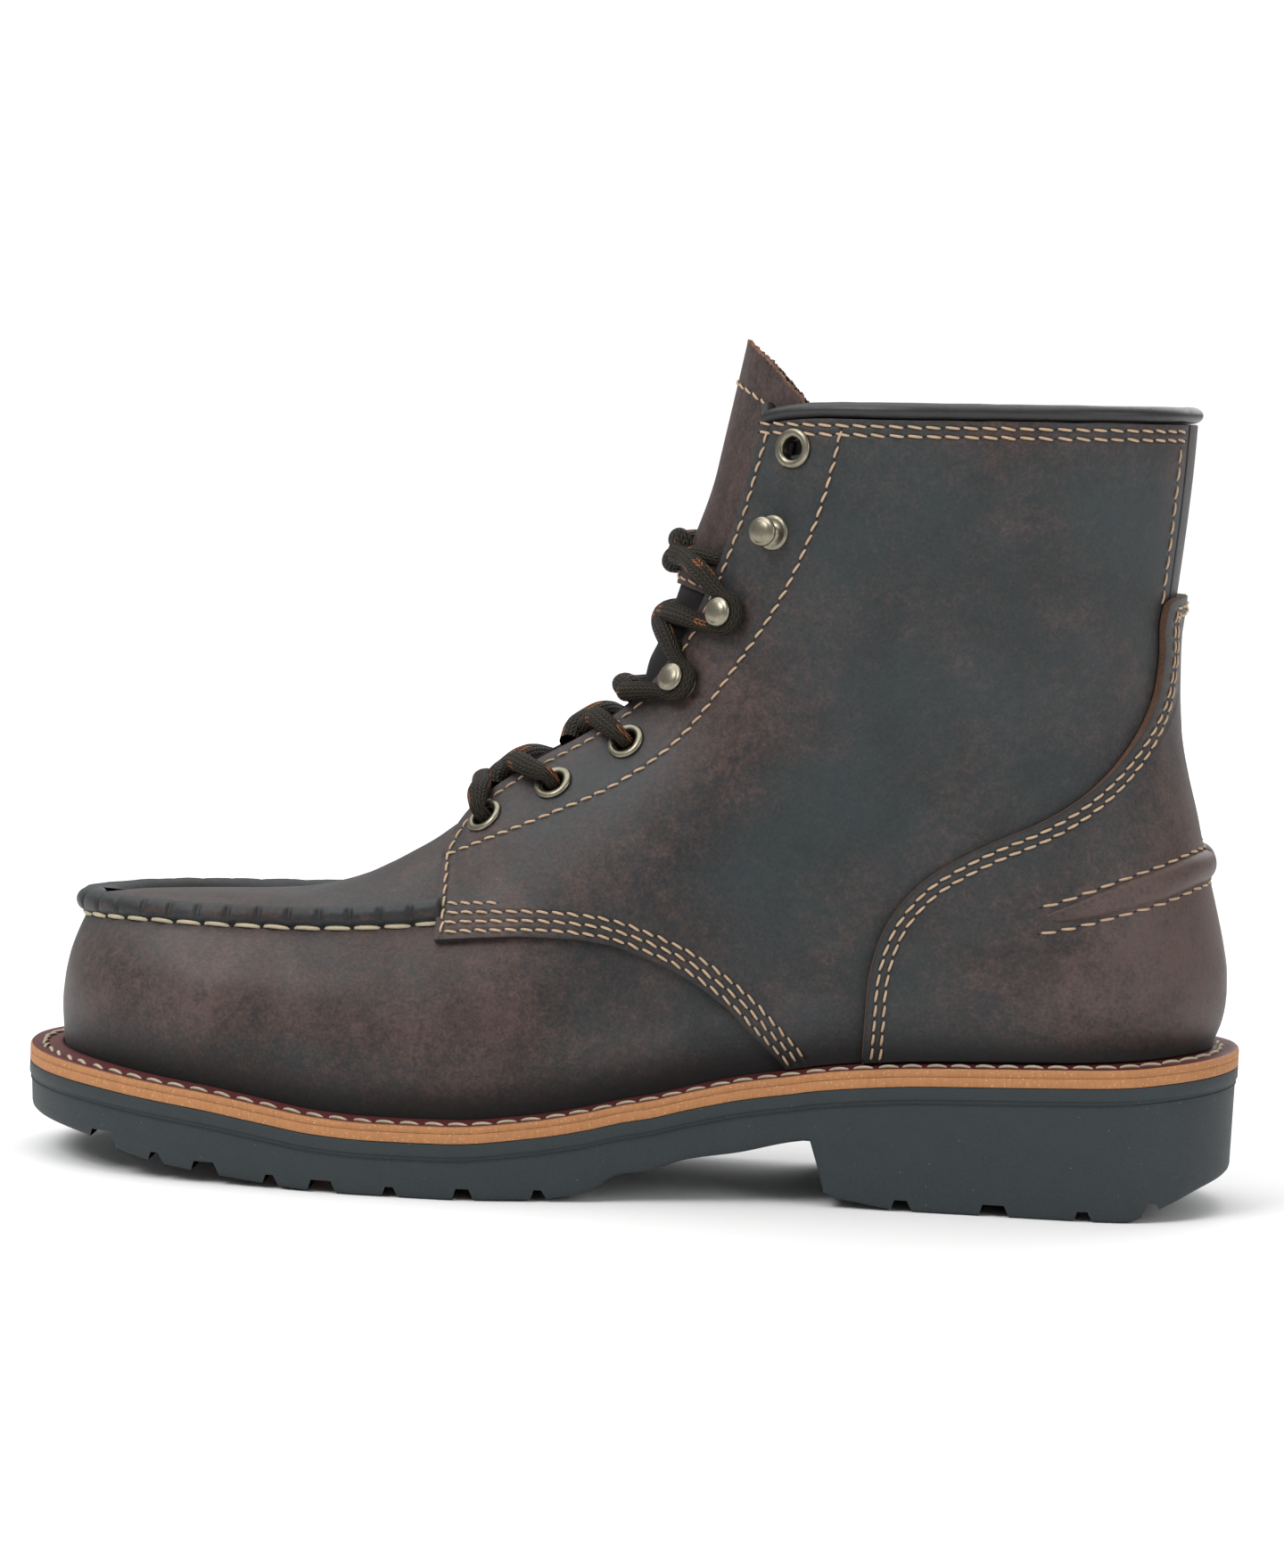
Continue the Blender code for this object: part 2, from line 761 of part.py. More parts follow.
def shell(name, cells, pair):
    """Wall between two sheets; pair gives each place its inner and outer point."""
    pairs = {}
    known = {}
    faces = []
    edges = {}
    for cell in cells:
        corners = []
        for place in cell:
            if place not in pairs:
                inner, outer = pair(place)
                key = tuple(round(value * 1e5) for value in outer)
                pairs[place] = known.setdefault(key, (inner, outer, key))
            if pairs[place] not in corners:
                corners.append(pairs[place])
        if len(corners) < 3:
            continue
        faces.append([corner[1] for corner in corners])
        faces.append([corner[0] for corner in reversed(corners)])
        for first, second in zip(corners, corners[1:] + corners[:1]):
            edge = tuple(sorted((first[2], second[2])))
            edges.setdefault(edge, []).append((first, second))
    for uses in edges.values():
        if len(uses) == 1:
            first, second = uses[0]
            faces.append([second[1], first[1], first[0], second[0]])
    return solid(name, faces)


def lift_pair(low, high):
    return lambda place: (lifted(place, low), lifted(place, high))


def loop_normals(points):
    """Outward direction in plan at each point of a closed loop."""
    count = len(points)
    area = 0.0
    for index in range(count):
        a = points[index]
        b = points[(index + 1) % count]
        area += a[0] * b[1] - b[0] * a[1]
    sign = 1 if area > 0 else -1
    normals = []
    for index in range(count):
        a = points[index - 1]
        b = points[(index + 1) % count]
        run = Vector((b[0] - a[0], b[1] - a[1])).normalized()
        normals.append(Vector((sign * run.y, -sign * run.x)))
    return normals


def ring_faces(lower, upper):
    count = len(lower)
    return [(lower[k], lower[(k + 1) % count], upper[(k + 1) % count], upper[k]) for k in range(count)]


def plate_faces(ring):
    """Flat faces across a closed ring that runs down one side and back up the other."""
    count = len(ring)
    faces = []
    for index in range(count // 2):
        a = ring[index]
        b = ring[index + 1]
        c = ring[(count - index - 1) % count]
        d = ring[(count - index) % count]
        faces.append((a, b, c, d))
    return faces


def sole_stations():
    """Stations of the sole's pieces: rounded ends, and each row of the height table."""
    toe_end = 0.155
    heel_end = 0.875
    stations = [toe_end * (1 - math.cos(math.pi / 2 * k / 9)) for k in range(10)]
    for row in SOLE_LINES:
        if toe_end + 0.01 < row[0] < heel_end - 0.01:
            stations.append(row[0])
    stations += [1 - (1 - heel_end) * (1 - math.cos(math.pi / 2 * k / 8)) for k in range(8, -1, -1)]
    return stations


def sole_ring(stations, inset, height):
    """Closed ring of the sole's outline, moved in by inset, at a height that follows x."""
    plan = [(station_x(s), axis_y(station_x(s)) - sole_half(station_x(s), LATERAL)) for s in stations]
    back = [(station_x(s), axis_y(station_x(s)) + sole_half(station_x(s), MEDIAL)) for s in stations[1:-1]]
    plan += list(reversed(back))
    ring = []
    for (x, y), normal in zip(plan, loop_normals(plan)):
        ring.append(Vector((x - inset * normal.x, y - inset * normal.y, height(x))))
    return ring


def stacked(rings):
    """Closed body of rings from top to bottom."""
    faces = plate_faces(rings[0]) + plate_faces(rings[-1])
    for upper, lower in zip(rings, rings[1:]):
        faces += ring_faces(lower, upper)
    return faces


def box_faces(low, high):
    x0, y0, z0 = low
    x1, y1, z1 = high
    a, b, c, d = (x0, y0, z0), (x1, y0, z0), (x1, y1, z0), (x0, y1, z0)
    e, f, g, h = (x0, y0, z1), (x1, y0, z1), (x1, y1, z1), (x0, y1, z1)
    return [(a, b, c, d), (e, f, g, h), (a, b, f, e), (b, c, g, f), (c, d, h, g), (d, a, e, h)]


def cut(shape, cutter, operation="DIFFERENCE"):
    cutter.hide_render = True
    cutter.display_type = "WIRE"
    modifier = shape.modifiers.new(cutter.name, "BOOLEAN")
    modifier.operation = operation
    modifier.solver = "EXACT"
    modifier.object = cutter


def make_outsole():
    stations = sole_stations()
    rings = []
    for inset, drop in SOLE_SIDE:
        rings.append(sole_ring(stations, inset * MM, lambda x, drop=drop: midsole_bottom(x) - drop * MM))
    rings.append(sole_ring(stations, SOLE_SKIRT * MM, lambda x: sole_height(x, 1) + SKIRT_LIFT * MM))
    rings.append(sole_ring(stations, SOLE_EDGE * MM, lambda x: sole_height(x, 1)))
    shape = solid("outsole", stacked(rings))
    faces = []
    for station, width, depth in NOTCHES:
        x = station_x(station)
        half = width * SOLE_LENGTH / 2
        top = sole_height(x, 1) + depth * MM
        for side in (LATERAL, MEDIAL):
            edge = axis_y(x) + side * (sole_half(x, side) + 0.006)
            inner = axis_y(x) + side * (sole_half(x, side) - NOTCH_REACH)
            faces += box_faces((x - half, min(edge, inner), -0.01), (x + half, max(edge, inner), top))
    cut(shape, solid("lug_notches", faces))


def make_midsole():
    stations = sole_stations()
    low = sole_ring(stations, 0.0004, midsole_bottom)
    high = sole_ring(stations, 0.0002, lambda x: midsole_bottom(x) + MIDSOLE_THICK)
    solid("midsole", stacked([high, low]))


def upper_columns(side):
    return toe_and_vamp_columns(side) + shaft_columns(side)


def upper_ring(lift):
    """Closed ring round the foot of the upper's wall, moved out by lift in plan."""
    lateral = [column[0] for column in upper_columns(LATERAL)]
    medial = [column[0] for column in upper_columns(MEDIAL)]
    places = lateral + list(reversed(medial[1:-1]))
    points = [lifted(place, 0.0) for place in places]
    ring = []
    for point, normal in zip(points, loop_normals([(p.x, p.y) for p in points])):
        ring.append(Vector((point.x + lift * normal.x, point.y + lift * normal.y, point.z)))
    return ring


def make_welt():
    inner = upper_ring(LAYER_GAP)
    front = inner[0].x
    back = max(point.x for point in inner)
    half_count = len(inner) // 2
    stations = []
    for point in inner[: half_count + 1]:
        stations.append((point.x - front) / (back - front))
    stations[0] = 0.0
    stations[-1] = 1.0
    low = MIDSOLE_THICK + SEAT_GAP

    def level(ring, height):
        return [Vector((point.x, point.y, height(point.x))) for point in ring]

    inner_low = level(inner, lambda x: midsole_bottom(x) + low)
    inner_high = level(inner, lambda x: welt_top(x) + WELT_RISE)
    outer_low = sole_ring(stations, 0.0004, lambda x: midsole_bottom(x) + low)
    outer_mid = sole_ring(stations, 0.0004, lambda x: welt_top(x) - 0.0004)
    outer_high = sole_ring(stations, 0.0010, welt_top)
    faces = ring_faces(inner_low, inner_high) + ring_faces(inner_high, outer_high)
    faces += ring_faces(outer_high, outer_mid) + ring_faces(outer_mid, outer_low)
    faces += ring_faces(outer_low, inner_low)
    solid("welt", faces)


def make_insole():
    ring = upper_ring(-UPPER_WALL - 0.0006)
    low = [Vector((p.x, p.y, midsole_bottom(p.x) + MIDSOLE_THICK + SEAT_GAP)) for p in ring]
    high = [Vector((p.x, p.y, p.z + INSOLE_THICK)) for p in low]
    solid("insole", stacked([high, low]))


def shown_points(rows, side):
    lift = LAYER_GAP + PANEL
    return [place_shown(station_x(s), h * COLLAR_HEIGHT, side, lift) for s, h in rows]


def turned_faces(profile, origin, axis):
    """Closed turned body on an axis; a profile that starts and ends at the axis is solid."""
    across = axis.cross(Vector((0, 0, 1))).normalized()
    other = axis.cross(across)
    rings = []
    for radius, height in profile:
        ring = []
        for index in range(TURNED_SIDES):
            angle = 2 * math.pi * index / TURNED_SIDES
            around = math.cos(angle) * across + math.sin(angle) * other
            ring.append(origin + axis * height * MM + around * radius * MM)
        rings.append(ring)
    faces = []
    for first, second in zip(rings, rings[1:]):
        faces += ring_faces(first, second)
    if profile[0][0] > 0:
        faces += ring_faces(rings[-1], rings[0])
    return faces


def fitting_places():
    """Places of the eyelets and of the hooks, both sides."""
    eyelets = shown_points(EYELETS, LATERAL) + shown_points(EYELETS, MEDIAL)
    hooks = shown_points(HOOKS, LATERAL) + shown_points(HOOKS, MEDIAL)
    return eyelets, hooks


def make_fittings(eyelets, hooks):
    lift = LAYER_GAP + PANEL
    for name, places, profile in (("eyelet", eyelets, EYELET_PROFILE), ("hook", hooks, HOOK_PROFILE)):
        a_side = len(places) // 2
        for index, place in enumerate(places):
            side = "lateral" if place[2] == LATERAL else "medial"
            label = f"{name}_{side}_{index % a_side + 1}"
            solid(label, turned_faces(profile, lifted(place, lift), normal_of(place)))


def hole_cutter(name, places):
    """Rods through the eyelets, for the holes of one piece."""
    profile = ((0.0, -9.0), (EYELET_HOLE, -9.0), (EYELET_HOLE, 6.0), (0.0, 6.0))
    faces = []
    for place in places:
        faces += turned_faces(profile, lifted(place, LAYER_GAP + PANEL), normal_of(place))
    return solid(name, faces)


def make_upper(eyelets):
    cells = []
    for side in (LATERAL, MEDIAL):
        cells += grid_cells(upper_columns(side))
    shape = shell("upper", cells, lift_pair(-UPPER_WALL, 0.0))
    cut(shape, hole_cutter("upper_holes", eyelets))


def make_quarters(eyelets):
    pair = lift_pair(LAYER_GAP, LAYER_GAP + PANEL)
    columns_kept = len(FACING_COLUMNS) + len(COLLAR_COLUMNS) + HEEL_TURNS.index(QUARTER_BACK_TURN) + 1

    def over_seam(x, z):
        return z - along(VAMP_SEAM, x_station(x)) * COLLAR_HEIGHT

    for name, side in (("quarter_lateral", LATERAL), ("quarter_medial", MEDIAL)):
        cells = grid_cells(shaft_columns(side)[:columns_kept], 1)
        shape = shell(name, clipped(cells, over_seam), pair)
        own = [place for place in eyelets if place[2] == side]
        cut(shape, hole_cutter(name + "_holes", own))


def make_counter():
    (corner, corner_height), (middle, middle_height) = COUNTER_TOP

    def behind_front(x, z):
        return x - station_x(along(COUNTER_FRONT, z / COLLAR_HEIGHT))

    def below_top(x, z):
        share = (x_station(x) - corner) / (middle - corner)
        return (corner_height + share * (middle_height - corner_height)) * COLLAR_HEIGHT - z

    cells = []
    for side in (LATERAL, MEDIAL):
        cells += grid_cells(shaft_columns(side)[len(FACING_COLUMNS) :], 1)
    cells = clipped(clipped(cells, behind_front), below_top)
    low = 2 * LAYER_GAP + PANEL
    shell("counter", cells, lift_pair(low, low + PANEL))


def make_backstay():
    cells = []
    kept = len(HEEL_TURNS) - HEEL_TURNS.index(BACKSTAY_TURN)
    for side in (LATERAL, MEDIAL):
        cells += grid_cells(shaft_columns(side)[-kept:], 1)
    shell("backstay", cells, lift_pair(LAYER_GAP, LAYER_GAP + 0.0013))


def strip_faces(points, normals, section, scales):
    """Body along a path on the surface; the section holds steps across and out, in millimetres."""
    rings = []
    count = len(points)
    for index in range(count):
        run = (points[min(index + 1, count - 1)] - points[max(index - 1, 0)]).normalized()
        normal = normals[index]
        across = normal.cross(run).normalized()
        scale = scales[index]
        base = section[0][1]
        ring = []
        for step, out in section:
            rise = base + (out - base) * scale
            ring.append(points[index] + across * step * scale * MM + normal * rise * MM)
        rings.append(ring)
    faces = [rings[0], rings[-1]]
    for first, second in zip(rings, rings[1:]):
        faces += ring_faces(first, second)
    return faces


def make_kick():
    lift = 2 * LAYER_GAP + 2 * PANEL
    path = []
    for side in (LATERAL, MEDIAL):
        half = []
        for index in range(9):
            turn = math.pi / 2 * (1 - index / 8)
            share = 1 - math.cos(turn)
            z = along(KICK, share) * COLLAR_HEIGHT
            place = heel_place(turn, z, side, station_x(KICK_END))
            half.append((lifted(place, lift), normal_of(place), along(KICK, share, 2)))
        path += half if side == LATERAL else list(reversed(half))[1:]
    points, normals, scales = zip(*path)
    solid("heel_kick", strip_faces(points, normals, KICK_SECTION, scales))


def make_roll():
    path = []
    for side in (LATERAL, MEDIAL):
        half = []
        for column in toe_and_vamp_columns(side):
            half.append((lifted(column[SEAM_ROW], 0.0), normal_of(column[SEAM_ROW])))
        path += list(reversed(half)) if side == LATERAL else half[1:]
    points, normals = zip(*path)
    section = [(-step, out) for step, out in ROLL_SECTION]
    solid("plug_roll", strip_faces(points, normals, section, [1.0] * len(points)))


def make_binding():
    centres = []
    for side in (LATERAL, MEDIAL):
        half = []
        places = [edge_place(FACING_COLUMNS[-1][1], side)]
        for _, collar_station in COLLAR_COLUMNS:
            x = station_x(collar_station)
            places.append((x, collar_height(x), side))
        for turn in HEEL_TURNS:
            x = heel_place(turn, 0.196, side)[0]
            places.append(heel_place(turn, collar_height(x), side))
        for place in places:
            normal = normal_of(place)
            normal.z = 0
            half.append((lifted(place, 0.0), normal.normalized()))
        centres += half if side == LATERAL else list(reversed(half))[1:]
    rings = []
    for point, normal in centres:
        ring = []
        for index in range(6):
            angle = 2 * math.pi * index / 6
            up = math.sin(angle) * 0.0020 + 0.0018 + LAYER_GAP
            ring.append(point + normal * math.cos(angle) * 0.0029 + Vector((0, 0, up)))
        rings.append(ring)
    faces = [rings[0], rings[-1]]
    for first, second in zip(rings, rings[1:]):
        faces += ring_faces(first, second)
    solid("collar_binding", faces)


def tongue_pair(key):
    """Inner and outer point of the tongue at a row place and a signed width share."""
    row, share = key
    first, last = TONGUE[0][0], TONGUE[-1][0]
    upto = (row - first) / (last - first)
    place = row - 0.8 * share * share * upto ** 4
    half = along(TONGUE, row) * MM
    width = abs(share) * half
    side = LATERAL if share < 0 else MEDIAL
    gap = ridge_at(place)[4]
    rise = smooth((place - 13.2) / 2.6) * smooth(1.12 * (1 - width / max(gap, 0.001)))
    lift = -TONGUE_UNDER + rise * TONGUE_UNDER
    spot = gap_place(place, max(width, 1.5e-5), side)
    return lifted(spot, lift - TONGUE_THICK), lifted(spot, lift)


def make_tongue():
    rows = spread(TONGUE[0][0], TONGUE[-1][0], TONGUE_ROWS)
    columns = [[(row, share) for row in rows] for share in spread(-1, 1, TONGUE_COLUMNS)]
    shell("tongue", grid_cells(columns), tongue_pair)


def over_gap(place, width, lift):
    """Point at a ridge place, a signed distance in millimetres from the middle, lifted in millimetres."""
    side = LATERAL if width < 0 else MEDIAL
    if abs(width) < 0.05:
        x, z = ridge_at(place)[:2]
        return lifted((x, z, 0), lift * MM)
    return lifted(gap_place(place, abs(width) * MM, side), lift * MM)


def between_places(first, last, share):
    return (first[0] + share * (last[0] - first[0]), first[1] + share * (last[1] - first[1]), last[2])


def into_eyelet(eyelet, edge):
    """Points over the facing's edge and down into an eyelet, each with the lace's radius."""
    return [
        (lifted(edge, 5.3 * MM), LACE_RADIUS),
        (lifted(between_places(edge, eyelet, 0.6), 6.0 * MM), LACE_RADIUS),
        (lifted(eyelet, 4.9 * MM), LACE_IN_HOLE),
        (lifted(eyelet, 2.2 * MM), LACE_IN_HOLE),
        (lifted(eyelet, -0.6 * MM), LACE_IN_HOLE),
    ]


def from_edge(place, step, side):
    """Points from beside a facing's own edge to the far half of the gap."""
    gap = ridge_at(place)[4] / MM
    return [
        (over_gap(place + 0.15, side * (gap - 3.2), 1.2), LACE_RADIUS),
        (over_gap(place + 0.32 * step, side * gap * 0.35, 3.4), LACE_RADIUS),
        (over_gap(place + 0.62 * step, -side * gap * 0.45, 4.8), LACE_RADIUS),
    ]


def round_hook(hook, place, side):
    """Points that come over the facing's edge, pass behind a hook and go back over the edge."""
    normal = normal_of(hook)
    near = lifted(hook, 0.0)
    x, z, _, _, _, inward = ridge_at(place)
    up_run = Vector((inward[1] * -1, 0, inward[0]))
    up_run = (up_run - normal * up_run.dot(normal)).normalized()
    away = normal.cross(up_run)
    if away.y * side < 0:
        away = -away
    centre = near + normal * 5.6 * MM
    points = [(lifted(edge_place(place - 0.45, side), 5.3 * MM), LACE_RADIUS)]
    for up, out in ((-3.9, -1.4), (-3.0, 2.8), (0.0, 4.1), (3.0, 2.8), (3.9, -1.4)):
        points.append((centre + (up_run * up + away * out) * MM, LACE_IN_HOLE))
    points.append((lifted(edge_place(place + 0.35, side), 5.3 * MM), LACE_RADIUS))
    return points


def tube_faces(path):
    """Closed tube through points with radii, rounded between them."""
    stations = []
    count = len(path)
    for first in range(count - 1):
        around = [path[min(max(first + step, 0), count - 1)] for step in (-1, 0, 1, 2)]
        for step in range(LACE_STEPS):
            t = step / LACE_STEPS
            a, b, c, d = (point for point, _ in around)
            curve = b + 0.5 * t * (c - a + t * (2 * a - 5 * b + 4 * c - d + t * (3 * (b - c) + d - a)))
            stations.append((curve, around[1][1] + t * (around[2][1] - around[1][1])))
    stations.append(path[-1])
    rings = []
    across = Vector((0.3, 0.2, 0.9))
    count = len(stations)
    for index, (point, radius) in enumerate(stations):
        run = (stations[min(index + 1, count - 1)][0] - stations[max(index - 1, 0)][0]).normalized()
        across = (across - run * across.dot(run)).normalized()
        other = run.cross(across)
        ring = []
        for corner in range(LACE_SIDES):
            angle = 2 * math.pi * corner / LACE_SIDES
            ring.append(point + (across * math.cos(angle) + other * math.sin(angle)) * radius * MM)
        rings.append(ring)
    faces = [rings[0], rings[-1]]
    for first, second in zip(rings, rings[1:]):
        faces += ring_faces(first, second)
    return faces


def lace_paths(eyelets, hooks):
    """Strands of the lace in three groups, each of which crosses itself and is one body."""
    eyelet_of = {LATERAL: eyelets[: len(EYELETS)], MEDIAL: eyelets[len(EYELETS) :]}
    hook_of = {LATERAL: hooks[: len(HOOKS)], MEDIAL: hooks[len(HOOKS) :]}
    ends = [into_eyelet(eyelet_of[side][0], edge_place(EYELET_PLACES[0], side)) for side in (LATERAL, MEDIAL)]
    bar = list(reversed(ends[0])) + [(over_gap(EYELET_PLACES[0], 0.0, 4.6), LACE_RADIUS)] + ends[1]
    groups = [[bar], [], []]
    for side in (LATERAL, MEDIAL):
        for level in (0, 1):
            place = EYELET_PLACES[level]
            step = EYELET_PLACES[level + 1] - place
            edge = edge_place(place + 0.88 * step, -side)
            groups[level].append(from_edge(place, step, side) + into_eyelet(eyelet_of[-side][level + 1], edge))
        place = EYELET_PLACES[2]
        step = HOOK_PLACES[0] - place
        path = from_edge(place, step, side)
        path += round_hook(hook_of[-side][0], HOOK_PLACES[0], -side)
        middle = (HOOK_PLACES[0] + HOOK_PLACES[1]) / 2
        path.append((over_gap(middle - 0.05, 0.0, 4.6), LACE_RADIUS))
        path += round_hook(hook_of[side][1], HOOK_PLACES[1], side)
        gap = ridge_at(18.4)[4] / MM
        path += [
            (over_gap(18.0, side * 5.0, 3.6), LACE_RADIUS),
            (over_gap(18.35, -side * 3.0, 2.9), LACE_RADIUS),
            (over_gap(18.75, -side * 1.0, 2.9), LACE_RADIUS),
            (over_gap(18.7, side * 7.0, 3.0), LACE_RADIUS),
            (over_gap(18.4, side * (gap - 3.4), 0.9), LACE_RADIUS),
        ]
        groups[2].append(path)
    return groups


def make_lace(eyelets, hooks):
    names = ("lace_lower", "lace_middle", "lace_upper")
    for name, paths in zip(names, lace_paths(eyelets, hooks)):
        lace = solid(name, tube_faces(paths[0]))
        for index, path in enumerate(paths[1:]):
            cut(lace, solid(f"{name}_strand_{index + 1}", tube_faces(path)), "UNION")


def main():
    bpy.ops.wm.read_factory_settings(use_empty=True)
    eyelets, hooks = fitting_places()
    make_outsole()
    make_midsole()
    make_welt()
    make_insole()
    make_upper(eyelets)
    make_quarters(eyelets)
    make_counter()
    make_backstay()
    make_kick()
    make_roll()
    make_binding()
    make_tongue()
    make_fittings(eyelets, hooks)
    make_lace(eyelets, hooks)


if __name__ == "__main__":
    main()
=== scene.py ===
import math

import bmesh
import bpy
import numpy as np
from mathutils import Matrix, Vector


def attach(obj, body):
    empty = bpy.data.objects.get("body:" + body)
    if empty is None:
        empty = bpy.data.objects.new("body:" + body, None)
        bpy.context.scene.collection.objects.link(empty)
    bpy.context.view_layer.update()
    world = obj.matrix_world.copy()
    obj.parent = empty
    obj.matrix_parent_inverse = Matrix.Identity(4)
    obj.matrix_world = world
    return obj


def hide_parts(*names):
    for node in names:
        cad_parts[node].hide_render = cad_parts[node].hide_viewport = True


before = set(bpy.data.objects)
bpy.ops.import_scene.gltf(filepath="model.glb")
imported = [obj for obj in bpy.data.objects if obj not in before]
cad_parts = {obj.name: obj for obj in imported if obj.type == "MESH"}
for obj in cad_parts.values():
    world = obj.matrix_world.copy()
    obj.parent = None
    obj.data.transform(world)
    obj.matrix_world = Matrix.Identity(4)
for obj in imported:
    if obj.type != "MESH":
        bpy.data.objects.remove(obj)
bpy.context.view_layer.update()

# Composite toe work boot, one left shoe: skin, seams, sole, lacing and a plain studio.
# Metres, toe to -X, lateral side to -Y, ground at z = 0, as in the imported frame.

bl_info = {
    "name": "Composite toe work boot",
    "version": (1, 0, 0),
    "blender": (4, 5, 0),
    "location": "3D View > Sidebar > Boot",
    "description": "Builds the leather, seams, sole and lacing of a work boot round its solids",
    "category": "Object",
}

MM = 0.001
LATERAL = -1
MEDIAL = 1
SIDES = (LATERAL, MEDIAL)
RANDOM_SEED = 7
QUARTER_TURN = math.pi / 2
# How far rows of a sheet draw together near its edges
GRADING = 0.55

# Outsole outline: station, lateral half width, medial half width, toe swing to the medial side
SOLE_PLAN = (
    (0.0, 0.453, 0.453, 0.036), (0.1, 0.472, 0.481, 0.03), (0.2, 0.495, 0.491, 0.014),
    (0.3, 0.519, 0.486, 0.0), (0.36, 0.524, 0.472, 0.0), (0.45, 0.476, 0.42, 0.0), (0.56, 0.401, 0.34, 0.0),
    (0.65, 0.363, 0.321, 0.0), (0.75, 0.358, 0.335, 0.0), (0.85, 0.366, 0.352, 0.0),
    (0.93, 0.368, 0.354, 0.0), (1.0, 0.358, 0.349, 0.0),
)
MIDDLE_SHIFT = 0.0007
TOE_CAP = 0.155
HEEL_CAP = 0.125
CAP_ROUNDNESS = 2.1

# Height lines of the sole: station, outsole bottom, midsole bottom, welt top
SOLE_LINES = (
    (0.0, 0.0556, 0.1152, 0.1379), (0.0663, 0.0444, 0.1091, 0.1313), (0.1197, 0.0242, 0.101, 0.1232),
    (0.1667, 0.0136, 0.0929, 0.1157), (0.2152, 0.0061, 0.0818, 0.1045), (0.2605, 0.001, 0.0727, 0.0949),
    (0.3058, 0.0, 0.0697, 0.0919), (0.3673, 0.0, 0.0707, 0.0929), (0.432, 0.0015, 0.0798, 0.102),
    (0.4741, 0.0101, 0.0909, 0.1136), (0.5032, 0.0354, 0.1015, 0.124), (0.5259, 0.0404, 0.1076, 0.1303),
    (0.555, 0.0551, 0.119, 0.1415), (0.5971, 0.0657, 0.133, 0.156), (0.6392, 0.0808, 0.143, 0.166),
    (0.6521, 0.0833, 0.1465, 0.1695), (0.6667, 0.0172, 0.1495, 0.1728), (0.694, 0.0076, 0.154, 0.1772),
    (0.73, 0.0005, 0.1585, 0.1815), (0.7913, 0.0, 0.1626, 0.1859), (0.9045, 0.0, 0.1708, 0.194),
    (0.94, 0.02, 0.176, 0.199), (0.9693, 0.039, 0.18, 0.203), (1.0, 0.052, 0.1843, 0.2071),
)

# Ridge of the boot in the middle plane: station, height, shoulder, roundness, half gap of the facings.
# Shoulder and half gap are in millimetres.
RIDGE = (
    (-0.0437, 0.3232, 26, 2.5, 0.0), (0.0469, 0.3283, 26, 2.5, 0.0), (0.0858, 0.3343, 26, 2.5, 0.0),
    (0.1375, 0.3384, 26, 2.5, 0.0), (0.1893, 0.3424, 27, 2.5, 0.0), (0.2282, 0.3495, 29, 2.4, 0.0),
    (0.2605, 0.3631, 36, 2.35, 0.0), (0.2864, 0.3808, 44, 2.3, 0.0), (0.3123, 0.403, 51, 2.25, 0.0),
    (0.3366, 0.4273, 55, 2.2, 3.0), (0.3641, 0.4646, 54, 2.15, 8.0), (0.39, 0.5, 52, 2.1, 9.5),
    (0.4191, 0.5333, 50, 2.05, 10.0), (0.4547, 0.5697, 48, 2.0, 11.0), (0.4806, 0.6025, 48, 2.0, 12.0),
    (0.5, 0.6364, 48, 2.0, 13.2), (0.5155, 0.6793, 48, 2.0, 15.0), (0.5285, 0.7348, 48, 2.0, 17.4),
    (0.5395, 0.798, 48, 2.0, 19.5), (0.5492, 0.8687, 48, 2.0, 21.6), (0.5583, 0.9444, 48, 2.0, 22.8),
    (0.567, 1.0152, 48, 2.0, 23.4), (0.5761, 1.0909, 48, 2.0, 24.0),
)
RIDGE_STEPS = 6

# Front and back of the upper in the middle plane: height, station
TOE_PROFILE = (
    (0.1111, 0.0307), (0.1515, 0.0282), (0.1919, 0.0265), (0.2222, 0.0278), (0.2525, 0.0311),
    (0.2828, 0.0372), (0.3131, 0.0456), (0.3384, 0.0528),
)
BACK_PROFILE = (
    (0.1717, 0.9641), (0.209, 0.9641), (0.2222, 0.9655), (0.2424, 0.97), (0.2677, 0.9728), (0.298, 0.9722),
    (0.3283, 0.9689), (0.3788, 0.9608), (0.4343, 0.9511), (0.4929, 0.9421), (0.5505, 0.9317),
    (0.6061, 0.9246), (0.6616, 0.9214), (0.7172, 0.9207), (0.7778, 0.9233), (0.8333, 0.9265),
    (0.8889, 0.9294), (0.9444, 0.9317), (1.0101, 0.9333), (1.0909, 0.9346),
)
UPPER_TOE_CAP = 0.142
UPPER_HEEL_CAP = 0.136

# Body of the upper: station, reach of the welt beyond it, lateral and medial bulge,
# lateral and medial half width at the ankle, half width at the collar
BODY = (
    (0.0, 0.0774, 0.0142, 0.0142, 0.415, 0.415, 0.368), (0.2, 0.077, 0.03, 0.03, 0.415, 0.415, 0.368),
    (0.36, 0.0755, 0.0425, 0.0425, 0.413, 0.41, 0.368), (0.5, 0.0717, 0.052, 0.066, 0.363, 0.358, 0.366),
    (0.62, 0.0792, 0.05, 0.062, 0.312, 0.322, 0.366), (0.75, 0.1019, 0.035, 0.04, 0.297, 0.307, 0.37),
    (0.9, 0.106, 0.0302, 0.0302, 0.292, 0.294, 0.372), (1.0, 0.1085, 0.0302, 0.0302, 0.292, 0.292, 0.372),
)
BULGE_RISE = 0.085
ANKLE_HEIGHT = 0.505

